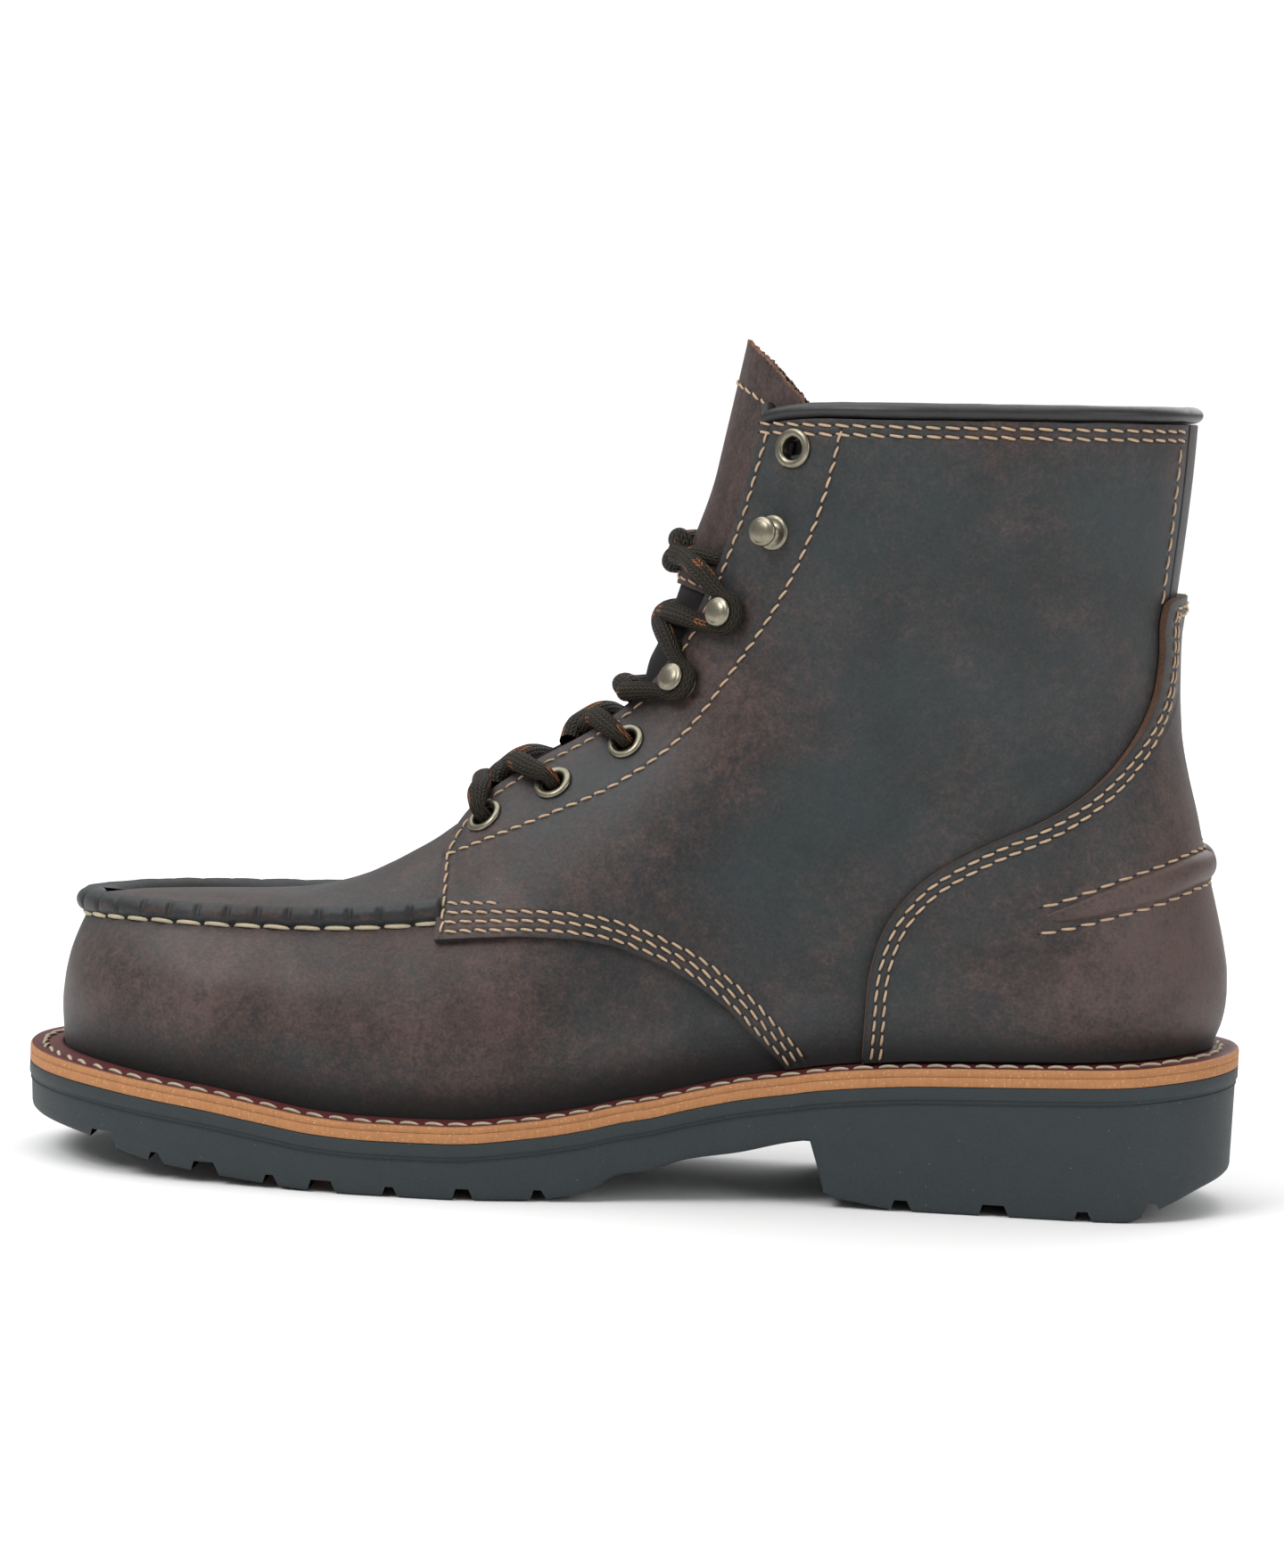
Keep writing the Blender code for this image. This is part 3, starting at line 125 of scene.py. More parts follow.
# Seam of the plug: station, height
PLUG_SEAM = (
    (0.0456, 0.3096), (0.0955, 0.3131), (0.1828, 0.3162), (0.2314, 0.3182), (0.2816, 0.3242),
    (0.3317, 0.3343), (0.3453, 0.3379),
)
TOE_GROUP_END = 0.170
POLE_STATION = 0.118
THROAT_STATION = 0.3398

# Columns from throat to heel: station at the welt, ridge place of the facing edge above it
FACING_COLUMNS = (
    (0.3479, 9.4), (0.376, 10.2), (0.406, 11.1), (0.434, 12.0), (0.46, 13.0), (0.485, 14.0), (0.508, 15.0),
    (0.532, 16.0), (0.557, 17.1), (0.583, 18.3), (0.608, 19.4), (0.633, 20.45),
)
# Columns under the collar: station at the welt, station at the collar
COLLAR_COLUMNS = (
    (0.672, 0.639), (0.718, 0.686), (0.766, 0.736), (0.8172, 0.7848),
)
COLLAR_LINE = ((0.5940, 0.9797), (0.9330, 0.9949))
QUARTER_BACK_TURN = 0.40
BACKSTAY_TURN = 0.345
LAST_FACING = len(FACING_COLUMNS) - 1
LAST_STRAIGHT = LAST_FACING + len(COLLAR_COLUMNS)
BACK_MIDDLE = LAST_STRAIGHT + 1

# Vamp seam, the lower edge of a quarter: station, height
VAMP_SEAM = (
    (0.3495, 0.3106), (0.3854, 0.3177), (0.4201, 0.3232), (0.4557, 0.3242), (0.4841, 0.3202),
    (0.5149, 0.3056), (0.5385, 0.2899), (0.5718, 0.2566), (0.5974, 0.2227), (0.6181, 0.1909), (0.629, 0.17),
    (0.65, 0.12),
)

# Edge of the counter from the welt up its front and over its top: station, height
COUNTER_EDGE = (
    (0.6903, 0.17), (0.6903, 0.2333), (0.6939, 0.3061), (0.7029, 0.3515), (0.7162, 0.3859), (0.733, 0.4146),
    (0.7602, 0.4444), (0.7887, 0.4687), (0.8214, 0.4929), (0.8502, 0.5227), (0.8722, 0.5571),
    (0.8909, 0.6015), (0.9022, 0.6455), (0.9065, 0.7005), (0.9063, 0.7561), (0.9084, 0.7717),
    (0.926, 0.7823),
)

# Heel kick: share of the way from the back to its front end, height, share of its full section
KICK = (
    (0.0, 0.4362, 1.0), (0.07, 0.4343, 1.0), (0.31, 0.4192, 1.0), (0.57, 0.403, 0.85), (0.83, 0.3848, 0.6),
    (1.0, 0.3747, 0.4),
)
KICK_END = 0.8269
# Sections in millimetres: step across, rise over the leather
KICK_SECTION = (
    (-4.3, -0.3), (-3.7, 1.1), (-2.6, 2.2), (-1.0, 2.9), (0.8, 3.0), (2.2, 2.5), (3.2, 1.3), (3.5, -0.3),
)
ROLL_SECTION = (
    (-0.5, -0.4), (-0.9, 0.7), (-0.9, 2.0), (0.1, 3.4), (1.4, 4.1), (2.8, 4.1), (4.1, 3.4), (5.0, 2.1),
    (5.3, 0.8), (5.3, -0.4),
)

# Height over the welt given to a piece that the painted shade over the welt doesn't reach, in millimetres
FAR_UP = 99.0
# Points of the vamp seam that stand over the welt, and columns of a quarter along its facing
VAMP_SHOWN = 11
FACING_STEPS = 107
HOLE_RADIUS = 3.0 * MM
HOLE_DEPTH = 4.0 * MM

# Eyelets and hooks of one side: station and height where the photograph shows their middle
EYELETS = ((0.3773, 0.4626), (0.4324, 0.5106), (0.4896, 0.5672), (0.6136, 0.9439))
HOOKS = ((0.5324, 0.6434), (0.5680, 0.7333), (0.6003, 0.8384))
# Turned profiles, radius and height over the panel in millimetres
EYELET_PROFILE = (
    (2.80, 0.35), (2.70, -1.5), (2.70, -4.3), (3.1, -4.75), (3.9, -4.9), (4.3, -4.7), (3.9, -4.55),
    (3.0, -4.4), (3.0, -0.1), (4.6, -0.1), (5.0, 0.1), (5.05, 0.35), (4.85, 0.72), (4.35, 1.0), (3.7, 1.04),
    (3.2, 0.85), (2.9, 0.6), (2.80, 0.35),
)
HOOK_BASE = (
    (0.0, -0.4), (4.35, -0.4), (4.45, 0.1), (4.2, 0.45), (3.4, 0.55), (2.4, 0.6), (1.9, 0.9), (1.7, 1.5),
    (1.65, 2.8), (1.7, 4.1), (0.0, 4.1),
)
HOOK_HEAD = (
    (0.0, 3.9), (2.4, 4.0), (3.3, 4.2), (3.65, 4.5), (3.72, 4.85), (3.6, 5.2), (3.25, 5.45), (2.9, 5.52),
    (2.8, 5.62), (2.2, 5.92), (1.3, 6.12), (0.0, 6.2),
)

# Tongue: ridge place, half width in millimetres
TONGUE = (
    (8.7, 15.0), (10.0, 18.0), (12.0, 22.0), (14.0, 25.5), (16.0, 28.5), (18.0, 30.0), (21.7, 31.0),
)
TONGUE_UNDER = 0.0036
TONGUE_THICK = 0.003
TONGUE_SWELL = 0.0028
TONGUE_COVER_START = 17.45

# Lace, in millimetres, and its places along the ridge
LACE_IN_HOLE = 1.7
LACE_ON_HOOK = 4.7
# Ridge places by which the lace crosses the facing's edge before and after each hook
HOOK_LEADS = ((1.4, 0.35), (0.45, 0.45))
EYELET_PLACES = (10.55, 12.45, 14.45)
# How far up to the next eyelets a strand crosses the facing's edge
EDGE_SHARE = 0.48
HOOK_PLACES = (15.95, 17.35)

# Half knot at the ends, by the side it comes from: ridge place, distance from the middle, lift and share of
# the radius
LACE_KNOT = {
    -1: (
        (17.96, 9.0, 4.9, 1.0), (17.98, 4.5, 6.0, 1.0), (18.04, -0.8, 5.2, 1.0), (18.00, -4.2, 3.4, 1.0),
        (17.84, -3.6, 2.9, 1.0), (17.90, 2.0, 2.7, 1.0), (18.04, 9.0, 2.7, 1.0), (18.10, 15.0, 2.4, 0.9),
        (18.12, 19.0, 1.0, 0.7), (18.12, 22.0, -2.6, 0.3),
    ),
    1: (
        (17.8, 9.5, 5.0, 1.0), (17.78, 4.0, 7.0, 1.0), (17.82, -1.6, 5.8, 1.0), (17.96, -4.0, 3.8, 1.0),
        (18.12, -1.2, 6.2, 1.0), (18.2, 4.5, 7.0, 1.0), (18.28, 11.0, 4.6, 1.0), (18.28, 16.5, 3.0, 1.0),
        (18.26, 19.5, 1.2, 0.75), (18.24, 22.0, -2.6, 0.3),
    ),
}
LACE_SWELL = 1.1


def smooth(share):
    share = np.clip(share, 0.0, 1.0)
    return share * share * (3 - 2 * share)


def along(rows, key, column=1):
    """Smooth value of a table's column at a key in its first column, flat at each turn."""
    table = np.asarray(rows, float)
    keys, values = table[:, 0], table[:, column]
    step = np.diff(keys)
    rise = np.diff(values) / step
    slope = np.concatenate((rise[:1], np.zeros(len(keys) - 2), rise[-1:]))
    same = rise[:-1] * rise[1:] > 0
    total = np.where(same, rise[:-1] + rise[1:], 1.0)
    slope[1:-1] = np.where(same, 2 * rise[:-1] * rise[1:] / total, 0.0)
    key = np.clip(key, keys[0], keys[-1])
    index = np.clip(np.searchsorted(keys, key) - 1, 0, len(step) - 1)
    t = (key - keys[index]) / step[index]
    start, end = values[index], values[index + 1]
    leave, arrive = slope[index] * step[index], slope[index + 1] * step[index]
    cubic = 2 * start - 2 * end + leave + arrive
    square = -3 * start + 3 * end - 2 * leave - arrive
    return start + t * (leave + t * (square + t * cubic))


def round_off(share, roundness):
    """Height of a rounded end at a share of its depth."""
    share = np.clip(share, 0.0, 1.0)
    return np.where(share > 0, (1 - (1 - share) ** roundness) ** (1 / roundness), 0.0)


def unit(vectors):
    return vectors / np.maximum(np.linalg.norm(vectors, axis=-1, keepdims=True), 1e-12)


def mixed(first, last, share):
    return first + (last - first) * share


def run_length(points):
    """Length along a line of points up to each one."""
    return np.concatenate(((0,), np.cumsum(np.linalg.norm(np.diff(points, axis=0), axis=1))))


def at_length(wanted, length, rows):
    """Rows at wanted lengths along a line."""
    return np.stack([np.interp(wanted, length, column) for column in rows.T], -1)


def sided(shape, side, *middle):
    """The side of each place, 0 in the columns that lie in the middle plane."""
    on_side = np.full(shape, side, float)
    on_side[list(middle)] = 0
    return on_side


def joined_halves(halves):
    """Arrays of the lateral half, each followed by the medial one turned round."""
    return [np.concatenate((one, other[::-1][1:])) for one, other in zip(*halves)]


def outward_of(ring):
    """Outward directions of a closed ring in plan."""
    run = unit(np.roll(ring, -1, 0) - np.roll(ring, 1, 0))
    return np.stack((run[:, 1], -run[:, 0]), -1)


def two_runs(start, turn, rest, first, second):
    """Even numbers from start to turn, and on from there over rest."""
    return np.concatenate((np.linspace(start, turn, first), turn + np.linspace(0, rest, second)[1:]))


def uneven(chance, count, every, middle, spread):
    """Random values for a run of points, one drawn at every so many and even between them."""
    drawn = chance.normal(middle, spread, count // every + 2)
    return np.interp(np.arange(count), np.arange(0, count + every, every), drawn)


def circle(sides):
    """Angles of the corners of a ring."""
    return np.arange(sides) * 2 * math.pi / sides


def rework(mesh, change):
    """Changes a mesh through bmesh."""
    work = bmesh.new()
    work.from_mesh(mesh)
    change(work)
    work.to_mesh(mesh)
    work.free()


def face_outward(work):
    bmesh.ops.recalc_face_normals(work, faces=work.faces)


class Last:
    """Form that the upper is drawn on. A place is x, z in the side view and a side, 0 in the middle plane."""

    def __init__(self, size):
        self.size = size
        self.length = size.sole_length
        self.ball = size.ball_width
        self.height = size.collar_height
        self.half = self.length / 2
        self.panel = size.layer_gap + size.panel
        self.line = self.ridge_line()
        self.feet = [(k, row[0]) for k, row in enumerate(FACING_COLUMNS + COLLAR_COLUMNS)]
        self.tops = {side: self.top_line(side) for side in SIDES}

    def x_of(self, station):
        return np.asarray(station, float) * self.length - self.half

    def station(self, x):
        return (x + self.half) / self.length

    def ridge_line(self):
        """Rows along the ridge: x, z, shoulder, roundness, half gap."""
        table = np.array(RIDGE, float)
        last = len(table) - 1
        rows = []
        for first in range(last):
            a, b, c, d = table[np.clip((first - 1, first, first + 1, first + 2), 0, last)]
            for t in np.arange(RIDGE_STEPS) / RIDGE_STEPS:
                curve = b + 0.5 * t * (c - a + t * (2 * a - 5 * b + 4 * c - d + t * (3 * (b - c) + d - a)))
                rows.append(np.concatenate((curve[:2], mixed(b, c, t)[2:])))
        rows.append(table[-1])
        line = np.array(rows)
        return np.column_stack(
            (self.x_of(line[:, 0]), line[:, 1] * self.height, line[:, 2] * MM, line[:, 3], line[:, 4] * MM)
        )

    def ridge_at(self, place):
        """Row of the ridge at a place along it, and the inward direction there."""
        position = np.clip(np.asarray(place, float), 0, len(RIDGE) - 1.001) * RIDGE_STEPS
        first = position.astype(int)
        row = mixed(self.line[first], self.line[first + 1], (position - first)[..., None])
        after = np.minimum(first + 2, len(self.line) - 1)
        run = unit(self.line[after, :2] - self.line[np.maximum(first - 1, 0), :2])
        return row, np.stack((run[..., 1], -run[..., 0]), -1)

    def ridge_depth(self, x, z):
        """Depth below the ridge, with the shoulder and the roundness there."""
        start, end = self.line[:-1], self.line[1:]
        run = end[:, :2] - start[:, :2]
        from_x, from_z = x[:, None] - start[:, 0], z[:, None] - start[:, 1]
        t = np.clip((from_x * run[:, 0] + from_z * run[:, 1]) / (run**2).sum(1), 0, 1)
        off_x, off_z = from_x - t * run[:, 0], from_z - t * run[:, 1]
        far = off_x**2 + off_z**2
        best = far.argmin(1)
        rows = np.arange(len(x))
        inside = off_x[rows, best] * run[best, 1] - off_z[rows, best] * run[best, 0]
        depth = np.where(inside > 0, np.sqrt(far[rows, best]), 0.0)
        form = mixed(start[best], end[best], t[rows, best][:, None])
        return depth, form[:, 2], form[:, 3]

    def sole_height(self, x, column):
        return along(SOLE_LINES, self.station(x), column) * self.height

    def midsole_bottom(self, x):
        return self.sole_height(x, 2)

    def welt_top(self, x):
        return self.sole_height(x, 3)

    def feather(self, x):
        """Height where the upper's wall starts, on the midsole."""
        return self.midsole_bottom(x) + self.size.midsole + self.size.layer_gap

    def panel_foot(self, x):
        """Height where an outer panel starts, over the welt."""
        return self.welt_top(x) + self.size.welt_rise + self.size.layer_gap

    def collar_z(self, x):
        first, last = COLLAR_LINE
        share = (self.station(x) - first[0]) / (last[0] - first[0])
        return mixed(first[1], last[1], share) * self.height

    def axis_y(self, x):
        return MIDDLE_SHIFT + along(SOLE_PLAN, self.station(x), 3) * self.ball

    def side_width(self, rows, x, side, column):
        """A width from the lateral column of a table or from the medial one after it."""
        station = self.station(x)
        return np.where(side < 0, along(rows, station, column), along(rows, station, column + 1)) * self.ball

    def plan_width(self, x, side):
        return self.side_width(SOLE_PLAN, x, side, 1)

    def sole_half(self, x, side):
        toe = round_off((x + self.half) / (TOE_CAP * self.length), CAP_ROUNDNESS)
        heel = round_off((self.half - x) / (HEEL_CAP * self.length), CAP_ROUNDNESS)
        return self.plan_width(x, side) * toe * heel

    def toe_x(self, z):
        return self.x_of(along(TOE_PROFILE, z / self.height))

    def back_x(self, z):
        return self.x_of(along(BACK_PROFILE, z / self.height))

    def body_half(self, x, z, side):
        """Half width of the upper's body, without toe, heel and ridge."""
        station = self.station(x)
        low = self.plan_width(x, side) - along(BODY, station, 1) * self.ball
        bulge, ankle = self.side_width(BODY, x, side, 2), self.side_width(BODY, x, side, 4)
        collar = along(BODY, station, 6) * self.ball
        start = self.panel_foot(x)
        width = low + bulge * smooth((z - start) / (BULGE_RISE * self.height))
        ankle_z = ANKLE_HEIGHT * self.height
        width = mixed(width, ankle, smooth((z - start - 0.008) / (ankle_z - start - 0.008)))
        return mixed(width, collar, smooth((z - ankle_z) / (self.height - ankle_z)))

    def half_width(self, x, z, side):
        """Half width of the upper at places of the side view."""
        x, z, side = np.broadcast_arrays(*(np.asarray(given, float) for given in (x, z, side)))
        shape = x.shape
        x, z, side = x.ravel(), z.ravel(), side.ravel()
        width = np.empty(x.size)
        block = 12000
        for first in range(0, x.size, block):
            part = slice(first, first + block)
            depth, shoulder, roundness = self.ridge_depth(x[part], z[part])
            width[part] = round_off(depth / shoulder, roundness)
        width *= round_off((x - self.toe_x(z)) / (UPPER_TOE_CAP * self.length), CAP_ROUNDNESS)
        width *= round_off((self.back_x(z) - x) / (UPPER_HEEL_CAP * self.length), CAP_ROUNDNESS)
        return (width * self.body_half(x, z, side)).reshape(shape)

    def skin(self, x, z, side, lift=0.0):
        """Points of the boot's skin moved out by lift and by the creases, and the normals there."""
        x, z, side = np.broadcast_arrays(*(np.asarray(given, float) for given in (x, z, side)))
        step = 0.0003
        turn = np.where(side == 0, MEDIAL, side)
        wider_x = self.half_width(x + step, z, turn) - self.half_width(x - step, z, turn)
        wider_z = self.half_width(x, z + step, turn) - self.half_width(x, z - step, turn)
        by_x = (self.axis_y(x + step) - self.axis_y(x - step) + turn * wider_x) / (2 * step)
        by_z = turn * wider_z / (2 * step)
        normal = unit(np.stack((-turn * by_x, np.where(side == 0, 0.0, turn), -turn * by_z), -1))
        width = np.where(side == 0, 0.0, self.half_width(x, z, turn))
        point = np.stack((x, self.axis_y(x) + side * width, z), -1)
        lift = np.asarray(lift, float) + crease_depth(self, x, z, side)
        return point + lift[..., None] * normal, normal

    def halved(self, low, high, inside):
        """Value between low and high where inside turns false, by halving."""
        low, high = np.array(low, float), np.array(high, float)
        for _ in range(26):
            middle = (low + high) / 2
            keep = inside(middle)
            low = np.where(keep, middle, low)
            high = np.where(keep, high, middle)
        return (low + high) / 2

    def roof_z(self, x, width, side):
        """Height on the roof of toe and vamp with a given half width."""
        low = along(PLUG_SEAM, self.station(x)) * self.height - 0.002
        found = self.halved(low, np.full(x.shape, 0.12), lambda z: self.half_width(x, z, side) > width)
        return np.where(width < 1e-6, np.interp(x, self.line[:, 0], self.line[:, 1]), found)

    def gap_place(self, place, width, side):
        """x and z beside the ridge with a given half width."""
        row, inward = self.ridge_at(place)

        def spot(depth):
            return row[..., 0] + inward[..., 0] * depth, row[..., 1] + inward[..., 1] * depth

        def narrower(depth):
            return self.half_width(*spot(depth), side) < width

        return spot(self.halved(np.zeros(row.shape[:-1]), row[..., 2], narrower))

    def top_line(self, side):
        """Rows of column, x and z along the facing's edge and the collar."""
        columns = np.linspace(0, LAST_FACING, 6 * LAST_FACING + 1)
        places = along([(k, row[1]) for k, row in enumerate(FACING_COLUMNS)], columns)
        x, z = self.gap_place(places, self.ridge_at(places)[0][:, 4], side)
        rows = list(zip(columns, x, z))
        for step, (_, station) in enumerate(COLLAR_COLUMNS):
            top = float(self.x_of(station))
            rows.append((LAST_FACING + 1 + step, top, float(self.collar_z(top))))
        return rows

    def heel_x(self, turn, z):
        """x on the rounded heel; a turn of 0 is the middle of the back."""
        foot, top = self.x_of(COLLAR_COLUMNS[-1])
        front = mixed(foot, top, (z - 0.036) / (self.height - 0.036))
        back = self.back_x(z)
        return back - (back - front) * (1 - np.cos(turn))

    def shaft_point(self, column, share, side):
        """x and z of a shaft column, from its foot at share 0 to its top at share 1."""
        straight = np.minimum(column, LAST_STRAIGHT)
        foot = self.x_of(along(self.feet, straight))
        top_x, top_z = along(self.tops[side], straight, 1), along(self.tops[side], straight, 2)
        turn = np.clip(BACK_MIDDLE - column, 0, 1) * QUARTER_TURN
        round_it = column > LAST_STRAIGHT
        low = self.feather(np.where(round_it, self.heel_x(turn, 0.041), foot))
        high = np.where(round_it, self.collar_z(self.heel_x(turn, 0.196)), top_z)
        z = mixed(low, high, share)
        return np.where(round_it, self.heel_x(turn, z), mixed(foot, top_x, share)), z

    def wall_point(self, column, share, side):
        """x and z of a toe or vamp column: to the plug's seam at share 1, to the middle at share 2."""
        turn = np.minimum(column, 1) * QUARTER_TURN
        group_end = self.x_of(TOE_GROUP_END)

        def at(z):
            front = self.toe_x(z)
            on_vamp = self.x_of(mixed(TOE_GROUP_END, THROAT_STATION, np.maximum(column - 1, 0)))
            return np.where(column > 1, on_vamp, front + (group_end - front) * (1 - np.cos(turn)))

        seam_x = at(0.0615)
        seam = along(PLUG_SEAM, self.station(seam_x)) * self.height
        foot = self.feather(at(0.025))
        wall_z = mixed(foot, seam, np.minimum(share, 1))
        x = at(wall_z)
        on_roof = np.clip(share - 1, 0, 1)
        middle = self.x_of(mixed(POLE_STATION, THROAT_STATION, np.maximum(column - 1, 0)))
        width = self.half_width(x, wall_z, side) * (1 - on_roof) * (column > 0)
        x = mixed(x, middle, on_roof)
        return x, np.where(share > 1, self.roof_z(x, width, side), wall_z)

    def shown(self, rows, side, lift):
        """Places whose lifted points stand at the given stations and heights in the side view."""
        target = np.array([(self.x_of(s), h * self.height) for s, h in rows])
        x, z = target.T
        for _ in range(5):
            _, normal = self.skin(x, z, side)
            x, z = target[:, 0] - lift * normal[:, 0], target[:, 1] - lift * normal[:, 2]
        return x, z


# Creases: first and last station and height, half width in millimetres, depth in millimetres
# (a ridge is negative), side where it lies
CREASES = (
    (0.885, 0.395, 0.835, 0.355, 2.2, 0.45, 0), (0.872, 0.352, 0.826, 0.338, 2.0, 0.35, 0),
    (0.905, 0.455, 0.84, 0.42, 2.4, 0.4, 0), (0.895, 0.5, 0.858, 0.455, 2.6, 0.35, 0),
    (0.64, 0.56, 0.76, 0.5, 7.0, 0.7, 0), (0.6, 0.5, 0.7, 0.42, 8.0, 0.6, 0),
    (0.66, 0.64, 0.8, 0.61, 9.0, 0.6, 0), (0.86, 0.64, 0.78, 0.6, 7.0, 0.6, 0),
    (0.5, 0.33, 0.56, 0.3, 5.0, -0.5, 0), (0.59, 0.3, 0.64, 0.23, 6.0, 0.4, 0),
    (0.47, 0.27, 0.52, 0.245, 3.5, 0.4, 0), (0.5, 0.285, 0.545, 0.235, 3.0, 0.35, 0),
    (0.29, 0.375, 0.33, 0.35, 4.0, 0.45, 0), (0.27, 0.366, 0.3, 0.344, 3.5, 0.35, 0),
)


def beside_line(last, x, z, ends, half):
    """From 0 to 1, how near places are to a short line that fades at its ends."""
    start = np.array((last.x_of(ends[0]), ends[1] * last.height))
    run = np.array((last.x_of(ends[2]), ends[3] * last.height)) - start
    t = ((x - start[0]) * run[0] + (z - start[1]) * run[1]) / (run**2).sum()
    near = np.clip(t, 0, 1)
    off = np.hypot(x - start[0] - near * run[0], z - start[1] - near * run[1]) / (half * MM)
    return np.sin(math.pi * np.clip(t, 0.02, 0.98)) ** 0.6 * np.exp(-(off**2))


def crease_depth(last, x, z, side):
    """How far the creases move the skin: soft troughs and ridges."""
    total = np.zeros(x.shape)
    for *ends, half, depth, where in CREASES:
        amount = -depth * MM * beside_line(last, x, z, ends, half)
        total += np.where((where == 0) | (side == where), amount, 0.0)
    return total


# Broad marks over the hide: station, height, reach along and up in millimetres, lighter or darker,
# redder or greener. They follow the photograph's larger tones: some are the hide's own uneven tone,
# others are painted sheen and shade, such as the strong light mark on the heel's side.
HIDE_MARKS_AND_PAINTED_LIGHT = (
    (0.12, 0.235, 26, 13, 0.3, 0.25), (0.27, 0.23, 28, 14, 0.25, 0.3), (0.4, 0.215, 24, 12, 0.1, 0.25),
    (0.2, 0.165, 60, 5, -0.45, -0.1), (0.34, 0.315, 20, 4, 0.1, 0.55), (0.46, 0.385, 22, 12, 0.15, 0.1),
    (0.62, 0.43, 44, 34, -0.22, -0.25), (0.66, 0.26, 26, 18, -0.2, -0.2),
    (0.72, 0.62, 44, 34, -0.12, -0.22), (0.75, 0.69, 22, 13, 0.3, -0.2), (0.74, 0.84, 50, 24, -0.3, -0.22),
    (0.86, 0.88, 18, 18, 0.15, -0.15), (0.87, 0.62, 16, 30, -0.05, -0.15), (0.86, 0.45, 24, 18, 0.1, 0.0),
    (0.93, 0.31, 24, 26, 1.1, 0.48), (0.94, 0.5, 10, 22, 0.35, 0.1), (0.78, 0.29, 26, 18, -0.05, 0.0),
    (0.55, 0.6, 14, 26, -0.05, 0.25), (0.8, 0.195, 60, 5, -0.45, -0.05),
)


# Scuffs and rubs: first and last station and height, half width in millimetres, how much lighter
SCUFFS = (
    (0.88, 0.318, 0.9, 0.358, 0.8, 2.6), (0.835, 0.33, 0.85, 0.322, 1.0, 1.0),
    (0.905, 0.385, 0.9, 0.34, 2.0, 0.5), (0.76, 0.855, 0.84, 0.872, 4.5, 0.7),
    (0.815, 0.77, 0.85, 0.735, 3.5, 0.8), (0.74, 0.7, 0.775, 0.672, 2.5, 0.7),
    (0.88, 0.72, 0.895, 0.66, 2.0, 0.8), (0.365, 0.335, 0.42, 0.338, 1.6, 0.5),
    (0.285, 0.205, 0.3, 0.212, 1.0, 0.9), (0.125, 0.19, 0.135, 0.194, 1.4, 0.9),
    (0.52, 0.43, 0.535, 0.445, 1.8, 0.6),
)


def hide_marks_and_painted_light(last, x, z):
    """Tone and warmth at places of the side view: scuffs and hide marks, with painted sheen and shade among
    the marks.
    """
    tone, warm = np.zeros(x.shape), np.zeros(x.shape)
    for *ends, half, lighter in SCUFFS:
        rub = lighter * beside_line(last, x, z, ends, half)
        tone += rub
        warm += 0.1 * rub
    for station, height, reach, rise, lighter, redder in HIDE_MARKS_AND_PAINTED_LIGHT:
        off = ((x - last.x_of(station)) / (reach * MM)) ** 2 + ((z - height * last.height) / (rise * MM)) ** 2
        tone += lighter * np.exp(-off)
        warm += redder * np.exp(-off)
    return tone, warm


def linear(text):
    """Linear colour from an sRGB hex value."""
    channels = [int(text[k : k + 2], 16) / 255 for k in (1, 3, 5)]
    return tuple(c / 12.92 if c <= 0.04045 else ((c + 0.055) / 1.055) ** 2.4 for c in channels)


def length_setting(name, description, default):
    return bpy.props.FloatProperty(
        name=name, description=description, default=default, unit="LENGTH", precision=5
    )


def colour_setting(name, description, text):
    return bpy.props.FloatVectorProperty(
        name=name, description=description, default=linear(text), subtype="COLOR", size=3, min=0, max=1
    )


class BootSizes(bpy.types.PropertyGroup):
    """Driving sizes of the boot, the same as the solids have, and those of its thread and lace."""

    sole_length: length_setting("Sole length", "Length of the outsole", 0.309)
    ball_width: length_setting("Ball width", "Width of the outsole at the ball", 0.106)
    collar_height: length_setting("Collar height", "Height of the leather's top edge", 0.198)
    upper_wall: length_setting("Upper wall", "Thickness of the upper", 0.0022)
    panel: length_setting("Panel", "Thickness of an outer panel", 0.0018)
    layer_gap: length_setting("Layer gap", "Gap between two layers", 0.0004)
    midsole: length_setting("Midsole", "Thickness of the midsole", 0.0025)
    insole: length_setting("Insole", "Thickness of the insole", 0.004)
    welt_rise: length_setting("Welt rise", "How far the welt rises to the upper", 0.0006)
    thread: length_setting("Thread", "Radius of the seam thread", 0.00033)
    moc_thread: length_setting("Moc thread", "Radius of the waxed thread of the plug", 0.00055)
    welt_thread: length_setting("Welt thread", "Radius of the welt's thread", 0.0005)
    lace: length_setting("Lace", "Radius of the lace", 0.0023)


